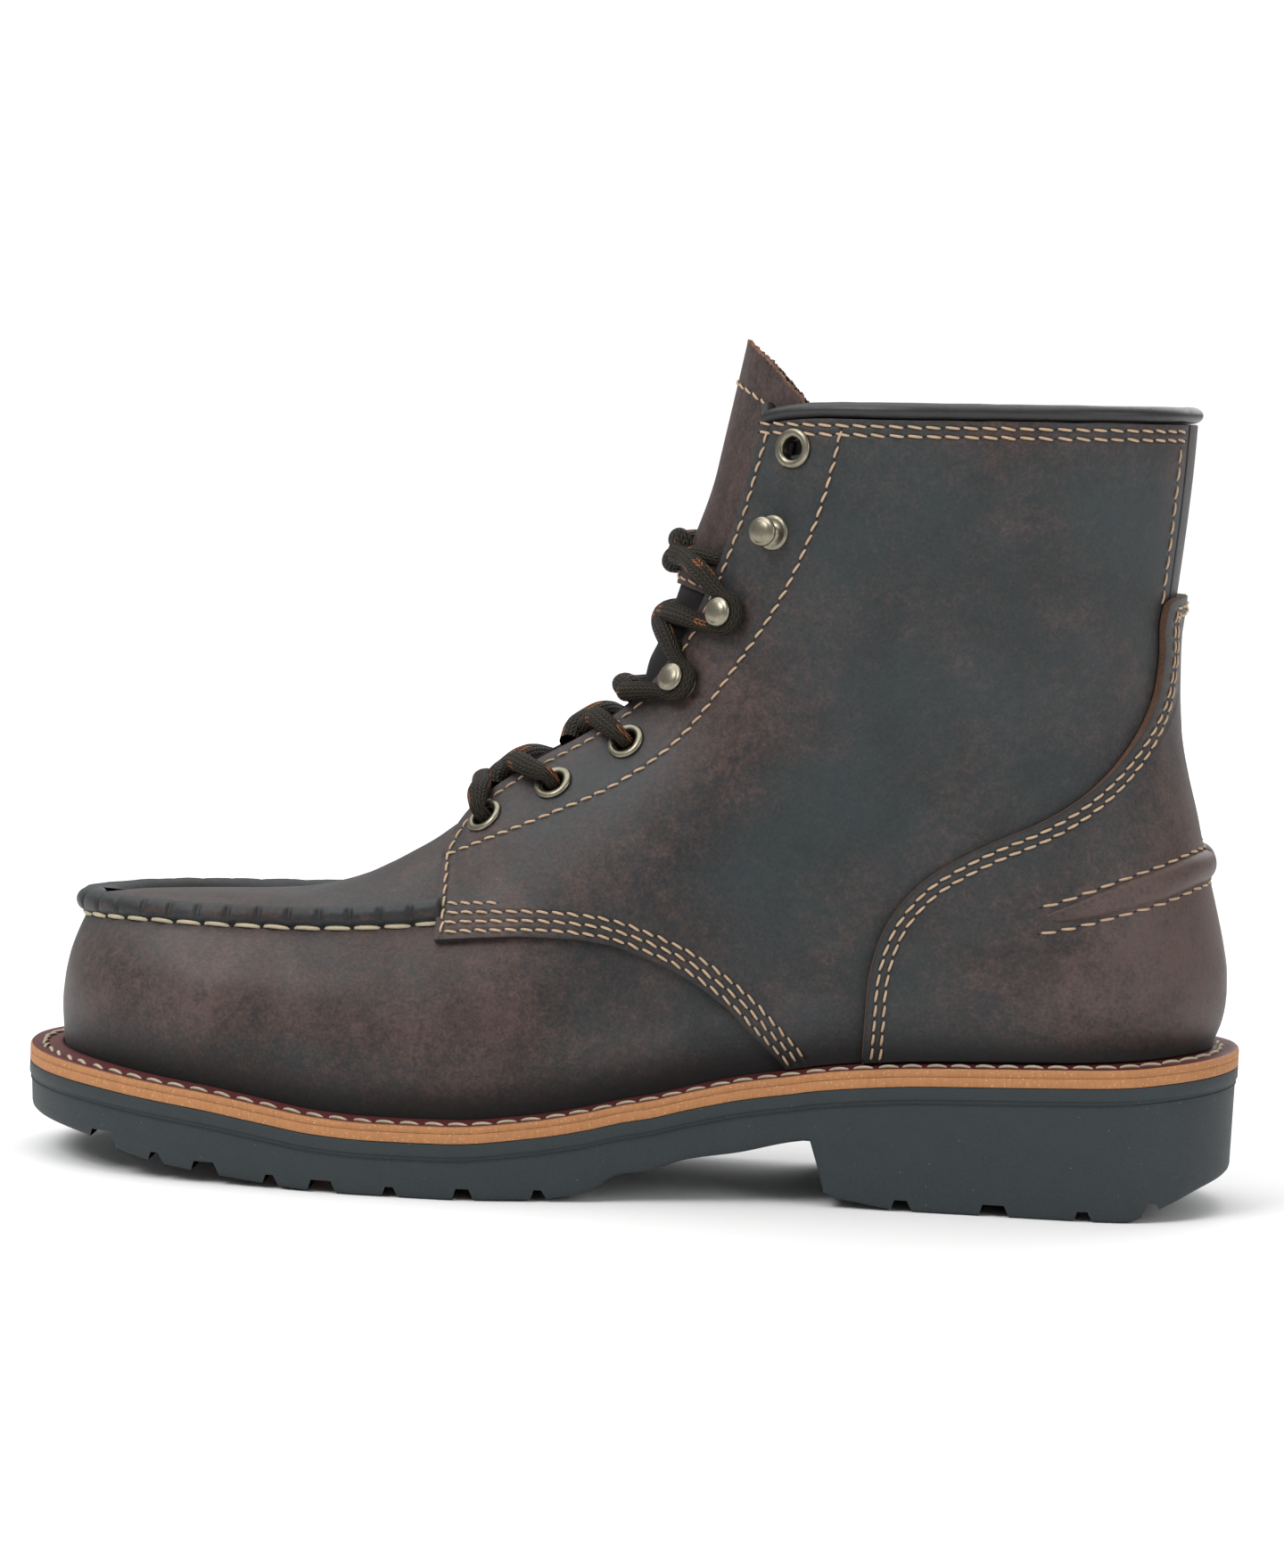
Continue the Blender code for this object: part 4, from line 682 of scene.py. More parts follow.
class BootColours(bpy.types.PropertyGroup):
    """Colours of the boot's materials."""

    hide: colour_setting("Hide", "Oiled leather", "#3b2f2c")
    hide_dark: colour_setting("Dark hide", "Oiled leather where it is darkest", "#221c1b")
    hide_slate: colour_setting("Slate hide", "Greenish patches of the leather", "#283032")
    hide_red: colour_setting("Red hide", "Reddish tints of the leather", "#46302a")
    hide_rub: colour_setting("Rubbed hide", "Rub marks that show the lighter core", "#7a5c48")
    raw_edge: colour_setting("Raw edge", "Cut edge of a panel", "#6b4c3a")
    binding: colour_setting("Binding", "Rolled collar leather", "#1b1a1b")
    thread: colour_setting("Thread", "Seam thread", "#c6a98a")
    moc_thread: colour_setting("Moc thread", "Waxed thread of the plug", "#c4b79c")
    welt: colour_setting("Welt", "Top of the welt", "#5f2526")
    edge: colour_setting("Sole edge", "Cut edge of welt and midsole", "#b67d4e")
    rubber: colour_setting("Rubber", "Outsole", "#252e31")
    brass: colour_setting("Brass", "Eyelets and hooks", "#9a9482")
    lace: colour_setting("Lace", "Lace", "#362f24")
    fleck: colour_setting("Fleck", "Flecks of the lace", "#cf7a3a")
    lining: colour_setting("Lining", "Inside of the boot", "#6b5440")
    suede: colour_setting("Suede", "Lower part of the tongue", "#171515")
    # Painted shade of the needle holes
    hole: colour_setting("Needle hole", "Inside of a needle hole", "#0b0908")


def wire(node, inputs):
    """Sets a node's inputs to values, or links them to sockets."""
    for key, value in inputs.items():
        if isinstance(value, bpy.types.NodeSocket):
            node.id_data.links.new(value, node.inputs[key])
        else:
            node.inputs[key].default_value = value


def add(tree, kind, settings, inputs):
    """Adds a node with its settings, and its inputs as values or links."""
    node = tree.nodes.new("ShaderNode" + kind)
    for key, value in settings.items():
        setattr(node, key, value)
    wire(node, inputs)
    return node


# What the word after a node's kind sets, the output it is read from, and where a colour mix has its inputs
WORD_SETS = {
    "Attribute": "attribute_name", "MapRange": "interpolation_type", "Math": "operation", "Mix": "blend_type",
    "TexVoronoi": "feature", "TexWhiteNoise": "noise_dimensions",
}
READ_FROM = {"Attribute": 2, "Mix": 2}
MIX_INPUTS = (0, 6, 7)


def add_steps(tree, found, steps):
    """Adds a table of nodes. A row is its name, its kind and word, and its inputs in order or by name.

    An input that names an earlier row links to it.
    """
    for key, kind, *values in steps:
        kind, _, word = kind.partition("/")
        settings = {WORD_SETS[kind]: word} if word else {}
        places = range(len(values))
        if kind == "Mix":
            settings["data_type"] = "RGBA"
            places = MIX_INPUTS
        given = values[0] if values and isinstance(values[0], dict) else dict(zip(places, values))
        inputs = {place: found.get(value, value) for place, value in given.items()}
        found[key] = add(tree, kind, settings, inputs).outputs[READ_FROM.get(kind, 0)]


def new_material(name):
    """Empty material, its node tree, its shader, and its object coordinates by the name of place."""
    material = bpy.data.materials.new(name)
    material.use_nodes = True
    tree = material.node_tree
    place = add(tree, "TexCoord", {}, {}).outputs["Object"]
    return material, tree, tree.nodes["Principled BSDF"], {"place": place}


def four(colour, share=1.0):
    """A colour or a lighter or darker one, as a shader takes it."""
    return (share * colour[0], share * colour[1], share * colour[2], 1.0)


def per_metre(millimetres):
    """A texture's scale, cells per metre, from the real size of its pattern."""
    return 1000.0 / millimetres


# Noise in the hide: grain in millimetres, detail, roughness, distortion, and a fourth coordinate where not 0
HIDE_NOISE = {
    "cloud": (24, 5, 0.62, 0.4, 0), "mottle": (2.8, 6, 0.72, 0, 0), "tints": (34, 4, 0.6, 0, 3),
    "grit": (0.9, 4, 0.8, 0, 0), "worn": (30, 2, 0.5, 0, 9), "wrinkles": (2.4, 8, 0.68, 0.6, 0),
    "hand": (16, 2, 0.5, 0, 0),
}
ROUGHNESS_OF_HIDE = 0.52
PORE_SIZE = 0.85
STREAK = (per_metre(5), per_metre(5), per_metre(1.6))
# How far a seam pulls the leather in, and how far from it that reaches, in millimetres
SEAM_PULL = 1.5
SEAM_REACH = (0.15, 0.95)


def leather(name, colours, rows=()):
    """Oiled pull-up leather: a satin brown that drifts to slate and red, with rub marks, pores and creases,
    and painted shade over the welt and along the seams.

    Rows pair a point value with the millimetres at which a seam pulls the leather in.
    """
    material, tree, shader, found = new_material(name)
    dark = colours.hide_dark
    for key, (size, detail, roughness, distortion, fourth) in HIDE_NOISE.items():
        inputs = {
            "Vector": found["place"], "Scale": per_metre(size), "Detail": detail, "Roughness": roughness,
            "Distortion": distortion, **({"W": fourth} if fourth else {})}
        found[key] = add(tree, "TexNoise", {"noise_dimensions": "4D" if fourth else "3D"}, inputs).outputs[0]
    steps = [
        ("tone", "Attribute/tone"), ("warm", "Attribute/warm"),
        # Light and dark come from broad clouds, fine mottling, grit and the listed marks
        ("fine", "Math/MULTIPLY_ADD", "mottle", 0.9, -0.45), ("broad", "Math/ADD", "cloud", "fine"),
        ("centred", "Math/SUBTRACT", "grit", 0.5),
        ("grained", "Math/MULTIPLY_ADD", "centred", 1.3, "broad"),
        # The tone attribute holds the hide's own marks and scuffs, and also painted sheen and shade
        ("level", "Math/MULTIPLY_ADD", "tone", 0.45, "grained"), ("body", "ValToRGB", "level"),
        # Warmth picks slate or red
        ("patchy", "Math/MULTIPLY_ADD", "warm", 0.7, "tints"),
        ("shifted", "Math/MULTIPLY_ADD", "fine", 0.75, "patchy"),
        ("to_slate", "MapRange", "shifted", 0.66, 0.20, 0.0, 0.95),
        ("to_red", "MapRange", "shifted", 0.60, 1.10, 0.0, 0.60),
        ("colour", "Mix", "to_slate", "body", four(colours.hide_slate)),
        ("colour", "Mix", "to_red", "colour", four(colours.hide_red)),
        # Rub marks run in short streaks, where a broad mask lets them show
        ("stretched", "Mapping", {"Vector": "place", "Rotation": (0.3, 0.7, 0.2), "Scale": STREAK}),
        ("streaks", "TexNoise", {"Vector": "stretched", "Scale": 1.0, "Detail": 5.0}),
        ("both", "Math/MULTIPLY", "streaks", "worn"), ("rubbed", "MapRange", "both", 0.36, 0.60, 0.0, 0.2),
        ("colour", "Mix", "rubbed", "colour", four(colours.hide_rub)),
        # The grain shows lighter and darker in every tone
        ("speckle", "MapRange", "grained", 0.15, 0.85, 0.72, 1.28),
        ("colour", "Mix/MULTIPLY", 1.0, "colour", "speckle"),
        # Pores, fine wrinkles and a soft hand
        ("pores", "TexVoronoi/SMOOTH_F1", {
            "Vector": "place", "Scale": per_metre(PORE_SIZE), "Smoothness": 0.5, "Randomness": 1.0}),
        ("creased", "Math/MULTIPLY_ADD", "pores", 0.05, "wrinkles"),
        ("relief", "Math/MULTIPLY_ADD", "hand", 1.6, "creased"),
    ]
    found["groove"] = 0.0
    for key, distance in rows:
        steps += [
            ("value", "Attribute/" + key),
            ("off", "Math/SUBTRACT", "value", distance),
            ("away", "Math/ABSOLUTE", "off"),
            ("dip", "MapRange/SMOOTHSTEP", "away", *SEAM_REACH, 1.0, 0.0),
            ("groove", "Math/MAXIMUM", "groove", "dip"),
        ]
    if rows:
        steps += [
            ("relief", "Math/MULTIPLY_ADD", "groove", -SEAM_PULL, "relief"),
            # Painted shade along each seam row, where the seam pulls the leather in
            ("shade", "Math/MULTIPLY", "groove", 0.35),
            ("colour", "Mix", "shade", "colour", four(dark, 0.5)),
            # A burnished line at the panel's cut edge
            ("edge", "Attribute/edge_mm"),
            ("rim", "MapRange/SMOOTHSTEP", "edge", 0.0, 1.0, 0.5, 0.0),
            ("colour", "Mix", "rim", "colour", four(dark, 0.6)),
        ]
    steps += [
        # Painted shade just over the welt: the leather turns nearly black towards its foot
        ("foot", "Attribute/foot_mm"), ("uneven", "Math/MULTIPLY_ADD", "cloud", -7.0, "foot"),
        ("low", "MapRange/SMOOTHSTEP", "uneven", -3.5, 7.0, 0.92, 0.0),
        ("colour", "Mix", "low", "colour", four(dark, 0.22)),
        ("gloss", "MapRange", "mottle", 0.3, 0.75, ROUGHNESS_OF_HIDE - 0.07, ROUGHNESS_OF_HIDE + 0.12),
        ("bump", "Bump", {"Height": "relief", "Strength": 0.55, "Distance": 0.00022}),
    ]
    add_steps(tree, found, steps)
    ramp = found["body"].node.color_ramp
    ramp.elements[0].position = 0.18
    ramp.elements[0].color = four(dark)
    ramp.elements[1].position = 0.95
    ramp.elements[1].color = four(colours.hide, 1.75)
    ramp.elements.new(0.52).color = four(colours.hide)
    wire(shader, {
        "Base Color": found["colour"], "Roughness": found["gloss"], "Normal": found["bump"], "IOR": 1.48,
        "Specular IOR Level": 0.36, "Coat Weight": 0.06, "Coat Roughness": 0.38, "Sheen Weight": 0.04})
    return material


def simple_surface(
    name, colour, other, size, roughness, relief, specks=None, metallic=0.0, stretch=(1, 1, 1), share=0.5
):
    """Surface of two close colours with grain of a real size, and specks where it has them."""
    material, tree, shader, found = new_material(name)
    steps = [
        ("scaled", "Mapping", {"Vector": "place", "Scale": stretch}),
        ("grain", "TexNoise", {
            "Vector": "scaled", "Scale": per_metre(size), "Detail": 8.0, "Roughness": 0.65}),
        ("cloud", "TexNoise", {"Vector": "scaled", "Scale": per_metre(size * 9), "Detail": 3.0}),
        ("blend", "Math/MULTIPLY_ADD", "grain", share * 2, "cloud"),
        ("spread", "MapRange", "blend", 0.3 + share * 0.6, 0.7 + share * 1.4, 0.0, 1.0),
        ("colour", "Mix", "spread", four(colour), four(other)),
    ]
    if specks:
        paint, spacing, reach = specks
        steps += [
            ("dots", "TexVoronoi", {"Vector": "place", "Scale": per_metre(spacing)}),
            ("dot", "MapRange", "dots", reach, reach * 0.5, 0.0, 0.7),
            ("colour", "Mix", "dot", "colour", four(linear(paint))),
        ]
    steps += [
        ("gloss", "MapRange", "grain", 0.3, 0.7, roughness - 0.06, roughness + 0.08),
        ("bump", "Bump", {"Height": "grain", "Strength": 0.7, "Distance": relief * MM}),
    ]
    add_steps(tree, found, steps)
    wire(shader, {
        "Base Color": found["colour"], "Roughness": found["gloss"], "Normal": found["bump"],
        "Metallic": metallic})
    return material


# The lace has this many rows of strands round it, and a strand each so many millimetres
BRAID_ROWS = 14.0
BRAID_STEP = 1.5
FLECKS_OVER = 0.885


def braid(name, colour, fleck):
    """Round braided polyester: slanted strands meet in Vs along the lace, with flecks of a bright yarn and
    painted shade between the strands.
    """
    material, tree, shader, found = new_material(name)
    # u runs once round the lace, and v is metres along it
    flat = add(tree, "UVMap", {"uv_map": "UVMap"}, {}).outputs[0]
    parts = add(tree, "SeparateXYZ", {}, {0: flat}).outputs
    found |= {"u": parts[0], "v": parts[1]}
    add_steps(tree, found, (
        ("around", "Math/MULTIPLY", "u", BRAID_ROWS), ("zigzag", "Math/PINGPONG", "around", 1.0),
        ("forward", "Math/MULTIPLY_ADD", "v", per_metre(BRAID_STEP), "zigzag"),
        ("ridge", "Math/PINGPONG", "around", 0.5), ("strand", "Math/PINGPONG", "forward", 0.5),
        ("both", "Math/MULTIPLY", "ridge", "strand"), ("fourfold", "Math/MULTIPLY", "both", 4.0),
        ("height", "Math/POWER", "fourfold", 0.7), ("pair", "Math/MULTIPLY", "around", 0.5),
        ("row", "Math/FLOOR", "pair"), ("few", "Math/MULTIPLY", "forward", 0.4),
        ("stretch", "Math/FLOOR", "few"), ("crown", "Math/SUBTRACT", "height", 0.15),
        ("cell", "CombineXYZ", "row", "stretch"), ("chance", "TexWhiteNoise/2D", {"Vector": "cell"}),
        ("picked", "Math/GREATER_THAN", "chance", FLECKS_OVER),
        ("bright", "Math/MULTIPLY", "picked", "crown"),
        # Painted shade: the strands' colour runs from nearly black in the hollows between them to lighter on
        # their crowns
        ("dark", "Mix", "height", four(colour, 0.05), four(colour, 1.6)),
        ("shown", "Mix", "bright", "dark", four(fleck)),
        ("bump", "Bump", {"Height": "height", "Strength": 1.0, "Distance": 0.0008}),
    ))
    wire(shader, {
        "Base Color": found["shown"], "Normal": found["bump"], "Roughness": 0.7, "Specular IOR Level": 0.25})
    return material


MATERIALS = {}
SEAM_ROWS = {
    "upper": (),
    "quarter": (
        ("edge_mm", 1.6), ("edge_mm", 3.7), ("edge_mm", 5.8), ("stay_mm", 0.0), ("facing_mm", 1.7),
        ("collar_mm", 1.6), ("collar_mm", 3.8),
    ),
    "counter": (("edge_mm", 2.2), ("edge_mm", 4.4)),
    "plain": (),
}
# Plainer surfaces: name, colour, shares of it for the two tones, grain in millimetres, roughness,
# relief in millimetres, and what else it has
SURFACES = {
    # Smooth rolled leather, waxed and nearly black, with a broad soft shine
    "binding": ("waxed_binding_leather", "binding", 1.0, 1.7, 1.2, 0.42, 0.10, {}),
    # Cut fibres of a thick hide: matt, mealy, lighter than the skin
    "raw": ("cut_leather_edge", "raw_edge", 1.0, 0.4, 0.5, 0.85, 0.2, {}),
    # The same where it frays, drawn paler
    "frayed": ("frayed_leather_edge", "raw_edge", 2.2, 1.0, 0.6, 0.9, 0.3, {}),
    # Cut edge dyed with the hide
    "dark_raw": ("dyed_leather_edge", "hide_dark", 1.0, 0.5, 0.6, 0.75, 0.2, {}),
    # Twisted and bonded: a low even shine
    "thread": ("bonded_nylon_thread", "thread", 1.0, 0.62, 0.35, 0.6, 0.12, {}),
    # Thick and waxed, streaked along its lay
    "moc_thread": ("waxed_linen_thread", "moc_thread", 1.0, 0.6, 0.5, 0.55, 0.16, {"stretch": (0.3, 1, 2)}),
    # Painted shade of a pricked needle hole: a dark disc laid between stitches
    "hole": ("needle_hole", "hole", 1.0, 2.14, 0.5, 0.9, 0.1, {}),
    # Vegetable-tanned edge: sanded fibres in layers, with pale specks and small nicks
    "edge": ("sanded_tan_leather_edge", "edge", 1.0, 0.72, 0.9, 0.72, 0.25, {
        "specks": ("#d3ab7c", 1.1, 0.22), "stretch": (1.4, 1.4, 0.35), "share": 1.2}),
    # Aniline-dyed: the colour sinks in unevenly
    "welt": ("dyed_welt_leather", "welt", 1.0, 0.62, 1.1, 0.55, 0.2, {"share": 0.7}),
    # Vulcanised rubber straight from the mould: matt, blue-black, dusty specks
    "rubber": ("moulded_rubber", "rubber", 1.0, 0.78, 0.7, 0.6, 0.06, {"specks": ("#6f7676", 3.3, 0.055)}),
    # Nickel-dipped brass with a rubbed brown patina
    "brass": ("antique_brass", "brass", 1.0, 0.5, 1.6, 0.33, 0.03, {"metallic": 1.0, "share": 0.6}),
    # Plain dry leather
    "lining": ("lining_leather", "lining", 1.0, 0.7, 1.4, 0.7, 0.12, {}),
    # Buffed nap that takes the light softly
    "suede": ("black_suede", "suede", 1.0, 2.2, 0.45, 0.95, 0.3, {}),
}


def make_materials(colours):
    """Fills MATERIALS, each named for what the real surface is."""
    for key, rows in SEAM_ROWS.items():
        MATERIALS["hide_" + key] = leather(f"oiled_pull_up_leather_{key}", colours, rows)
    for key, (name, colour, first, second, size, roughness, relief, more) in SURFACES.items():
        base = getattr(colours, colour)
        MATERIALS[key] = simple_surface(
            name, [first * c for c in base], [second * c for c in base], size, roughness, relief, **more)
    MATERIALS["lace"] = braid("braided_polyester_lace", colours.lace, colours.fleck)


def grid_faces(columns, rows, flip=False, first=0, ring=False):
    """Quads of a grid of points; a ring also joins its last row to its first."""
    index = first + np.arange(columns * rows).reshape(columns, rows)
    if ring:
        index = np.hstack((index, index[:, :1]))
    a, b, c, d = index[:-1, :-1], index[1:, :-1], index[1:, 1:], index[:-1, 1:]
    order = (a, d, c, b) if flip else (a, b, c, d)
    return np.stack(order, -1).reshape(-1, 4)


def new_piece(name, points, faces, slots, values=None, weld=0.0, uv=None):
    """Object from points and faces that rides on the boot, smooth, with its materials and point values."""
    mesh = bpy.data.meshes.new(name)
    corners = [[int(corner) for corner in face] for face in faces]
    mesh.from_pydata(np.asarray(points).reshape(-1, 3).tolist(), [], corners)
    for key, value in (values or {}).items():
        own = mesh.attributes.new(key, "FLOAT", "POINT")
        own.data.foreach_set("value", np.asarray(value, np.float32).ravel())
    if uv is not None:
        order = np.empty(len(mesh.loops), np.int32)
        mesh.loops.foreach_get("vertex_index", order)
        layer = mesh.uv_layers.new(name="UVMap")
        layer.data.foreach_set("uv", np.asarray(uv, np.float32).reshape(-1, 2)[order].ravel())
    if weld:
        rework(mesh, lambda work: bmesh.ops.remove_doubles(work, verts=work.verts, dist=weld))
    mesh.shade_smooth()
    for key in slots:
        mesh.materials.append(MATERIALS[key])
    piece = bpy.data.objects.new(name, mesh)
    bpy.context.scene.collection.objects.link(piece)
    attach(piece, "root")
    return piece


def modify(piece, kind, **settings):
    """Adds a modifier with its settings."""
    modifier = piece.modifiers.new(kind.title(), kind)
    for key, value in settings.items():
        setattr(modifier, key, value)


def thicken(piece, thickness, outward, rim=0, inner=0, bevel=0.0004):
    """Gives a sheet its thickness and soft cut edges."""
    modify(
        piece, "SOLIDIFY", thickness=thickness, offset=1 if outward else -1, use_even_offset=False,
        use_quality_normals=True, material_offset_rim=rim, material_offset=inner)
    if bevel:
        modify(piece, "BEVEL", width=bevel, segments=2, limit_method="ANGLE", angle_limit=math.radians(50))
    modify(piece, "WEIGHTED_NORMAL", keep_sharp=True)


def joined_grids(parts):
    """Points, faces and values of several grids in one mesh. A part is points, values and a flip."""
    points, faces, values, first = [], [], {}, 0
    for grid, own, flip in parts:
        columns, rows = grid.shape[:2]
        faces.append(grid_faces(columns, rows, flip, first))
        points.append(grid.reshape(-1, 3))
        for key, value in own.items():
            values.setdefault(key, []).append(np.broadcast_to(value, (columns, rows)).ravel())
        first += columns * rows
    values = {key: np.concatenate(value) for key, value in values.items()}
    return np.concatenate(points), np.concatenate(faces), values


def sheet_piece(name, parts, slots, weld=0.0):
    """Piece from grids, each with its points, values and flip."""
    points, faces, values = joined_grids(parts)
    return new_piece(name, points, faces, slots, values, weld)


def edge_distance(line, x, z):
    """Distance in metres from places to a line of points in the side view."""
    line = np.asarray(line, float)
    start, run = line[:-1], np.diff(line, axis=0)
    best = np.full(x.shape, 9.0)
    for (x0, z0), (dx, dz) in zip(start, run):
        t = np.clip(((x - x0) * dx + (z - z0) * dz) / max(dx * dx + dz * dz, 1e-12), 0, 1)
        best = np.minimum(best, np.hypot(x - x0 - t * dx, z - z0 - t * dz))
    return best


def row_offset(line, x, z):
    """Signed distance in metres from a line in the side view, for places beside it."""
    line = np.asarray(line, float)
    near = ((x[..., None] - line[:, 0]) ** 2 + (z[..., None] - line[:, 1]) ** 2).argmin(-1)
    run = unit(np.gradient(line, axis=0))[near]
    off_x, off_z = x - line[near, 0], z - line[near, 1]
    beyond = np.abs(off_x * run[..., 0] + off_z * run[..., 1])
    return off_z * run[..., 0] - off_x * run[..., 1] + np.where(beyond > 0.0012, 9.0, 0.0)


def graded(count, both_ends):
    """Shares from 0 to 1, closer together near the first end or near both."""
    t = np.linspace(0, 1, count)
    curved = (1 - np.cos(math.pi * t)) / 2 if both_ends else 1 - np.cos(QUARTER_TURN * t)
    return mixed(t, curved, GRADING)


def line_of(last, rows):
    """Smooth dense line in the side view through stations and heights."""
    spots = np.array([(float(last.x_of(s)), h * last.height) for s, h in rows])
    return dense(spots)


def dense(spots, step=0.0006):
    """Rounded line through rows of a point and what goes with it, about a step apart."""
    spots = np.asarray(spots, float)
    length = run_length(spots[:, :3])
    wanted = np.linspace(0, length[-1], int(length[-1] / step))
    padded = np.column_stack((length, spots))
    return np.stack([catmull(padded, wanted, k + 1) for k in range(spots.shape[1])], -1)


def catmull(table, key, column):
    """Rounded value of a column that passes through its rows."""
    keys, values = table[:, 0], table[:, column]
    slope = np.gradient(values, keys)
    index = np.clip(np.searchsorted(keys, key) - 1, 0, len(keys) - 2)
    span = keys[index + 1] - keys[index]
    t = (key - keys[index]) / span
    a, b = values[index], values[index + 1]
    va, vb = slope[index] * span, slope[index + 1] * span
    return a + t * (va + t * (3 * (b - a) - 2 * va - vb + t * (2 * (a - b) + va + vb)))


def offset_line(line, distance):
    """Line moved to the left of its run by a distance in the side view."""
    run = unit(np.gradient(line, axis=0))
    return line + distance * np.stack((-run[:, 1], run[:, 0]), -1)


def route(last, line, side, lift):
    """Points and normals on the boot along a line of the side view."""
    return last.skin(line[:, 0], line[:, 1], side, lift)


def tube_rings(path, normals, radii, sides, flat=1.0):
    """Rings of points round paths; the last two axes of a path are its points and their coordinates."""
    run = unit(np.gradient(path, axis=-2))
    across = unit(np.cross(normals, run))
    up = np.cross(run, across)
    angle = circle(sides)
    ring = across[..., None, :] * np.cos(angle)[:, None] + flat * up[..., None, :] * np.sin(angle)[:, None]
    return path[..., None, :] + ring * np.asarray(radii)[..., None, None]


# Shape of a stitch along itself: share, rise and radius as shares of the thread's radius
STITCH = (
    (0.0, -0.9, 0.45), (0.1, 0.15, 0.85), (0.28, 0.55, 1.0), (0.5, 0.68, 1.05), (0.72, 0.55, 1.0),
    (0.9, 0.15, 0.85), (1.0, -0.9, 0.45),
)
HOLE_CORNERS = 10


def facing_share(column):
    """How high a quarter reaches: its front corner is rounded off."""
    return 1 - 0.085 * np.clip(1 - column / 1.3, 0, 1) ** 2.5


def hide_values(last, x, z, **more):
    """Point values of the hide: tone, warmth, millimetres above the welt, and what else a panel has."""
    tone, warm = hide_marks_and_painted_light(last, x, z)
    return {"tone": tone, "warm": warm, "foot_mm": (z - last.panel_foot(x)) / MM, **more}


class Seams:
    """Collects stitches of one thread and dark discs of painted shade at its needle holes, and makes one
    piece of each.
    """

    def __init__(self, radius):
        self.radius = radius
        self.chance = np.random.default_rng(RANDOM_SEED)
        self.stitches = []
        self.holes = []

    def sew(self, points, normals, pitch, gap=0.2, slant=0.8, drift=0.7):
        """Sews a row along points on the leather, with a stitch for each pitch and a disc of painted
        needle-hole shade between stitches.
        """
        length = run_length(points)
        count = max(int(round(length[-1] / pitch)), 1)
        pitch = length[-1] / count
        shares, rise, radii = np.array(STITCH).T * [[1], [self.radius], [self.radius]]
        starts = np.arange(count) * pitch + gap * pitch / 2
        starts = starts + self.chance.uniform(-0.04, 0.04, count) * pitch * drift
        spots = starts[:, None] + shares * pitch * (1 - gap)
        path = at_length(spots, length, points)
        normal = unit(at_length(spots, length, normals))
        across = unit(np.cross(normal, unit(np.gradient(path, axis=-2))))
        tilt = slant * self.radius * (1 + drift * self.chance.uniform(-0.6, 0.6, (count, 1)))
        path = path + across * (tilt * (1 - 2 * shares))[..., None] + normal * rise[:, None]
        self.stitches.append(tube_rings(path, normal, radii, 8, 0.86))
        place = np.arange(count + 1) * pitch
        spot = at_length(place, length, points)
        out = unit(at_length(place, length, normals))
        ahead = unit(at_length(place + 1e-4, length, points) - at_length(place - 1e-4, length, points))
        beside = unit(np.cross(out, ahead))
        angle = circle(HOLE_CORNERS)[:, None]
        ring = ahead[:, None] * np.cos(angle) * gap * pitch * 0.5
        ring = ring + beside[:, None] * np.sin(angle) * self.radius
        middle = (spot + out * 0.05 * MM)[:, None]
        self.holes.append(np.concatenate((ring + middle - out[:, None] * 0.1 * MM, middle), 1))

    def make(self, name, material, slot):
        """Makes the thread's piece and the piece of painted shade at its needle holes."""
        rings = np.concatenate(self.stitches)
        count, steps, sides = rings.shape[:3]
        tube = grid_faces(steps, sides, True, 0, ring=True)
        faces = (tube[None] + (np.arange(count) * steps * sides)[:, None, None]).reshape(-1, 4)
        new_piece(name, rings, faces, [material])
        discs = np.concatenate(self.holes)
        around = np.arange(HOLE_CORNERS)
        fan = np.stack((around, (around + 1) % HOLE_CORNERS, np.full(HOLE_CORNERS, HOLE_CORNERS)), -1)
        faces = (fan[None] + (np.arange(len(discs)) * (HOLE_CORNERS + 1))[:, None, None]).reshape(-1, 3)
        new_piece(name + "_holes", discs, faces, ["hole"])


def upper_grid(last, side):
    """Places of the upper's own sheet on one side: columns from toe to heel, rows from the feather up."""
    wall_rows, roof_rows = 34, 26
    toe = np.linspace(0, 1, 46)
    vamp = 1 + np.linspace(0, 1, 56)[1:]
    shares = two_runs(0, 1, 1, wall_rows, roof_rows)
    column = np.concatenate((toe, vamp))[:, None]
    x, z = last.wall_point(column, shares[None], side)
    shaft = two_runs(0, LAST_STRAIGHT, 1, 56, 22)[:, None]
    split = np.where(shaft <= LAST_FACING, 0.72 - 0.34 * smooth(shaft / 10), 0.37)
    lower = np.linspace(0, 1, wall_rows)[None] * split
    higher = split + np.linspace(0, 1, roof_rows)[1:][None] * (1 - split)
    shaft_x, shaft_z = last.shaft_point(shaft, np.concatenate((lower, higher), 1), side)
    x, z = np.concatenate((x, shaft_x)), np.concatenate((z, shaft_z))
    on_side = sided(x.shape, side, 0, -1)
    on_side[: len(column), -1] = 0
    return x, z, on_side


def make_upper(last):
    """The vamp, plug and inner shaft in one sheet, with the lining's face inside."""
    parts = []
    for side in SIDES:
        x, z, on_side = upper_grid(last, side)
        points, _ = last.skin(x, z, on_side)
        parts.append((points, hide_values(last, x, z), side == MEDIAL))
    piece = sheet_piece("upper_skin", parts, ["hide_upper", "dark_raw", "lining"], 4e-5)
    cut_eyelet_holes(last, piece)
    thicken(piece, last.size.upper_wall, False, rim=1, inner=2, bevel=0.0)
    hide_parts("upper")


def eyelet_axes(last, lift):
    """Points and normals of all eyelets, lifted."""
    found = []
    for side in SIDES:
        x, z = last.shown(EYELETS, side, last.panel)
        points, normals = last.skin(x, z, side, lift)
        found += list(zip(points, normals))
    return found


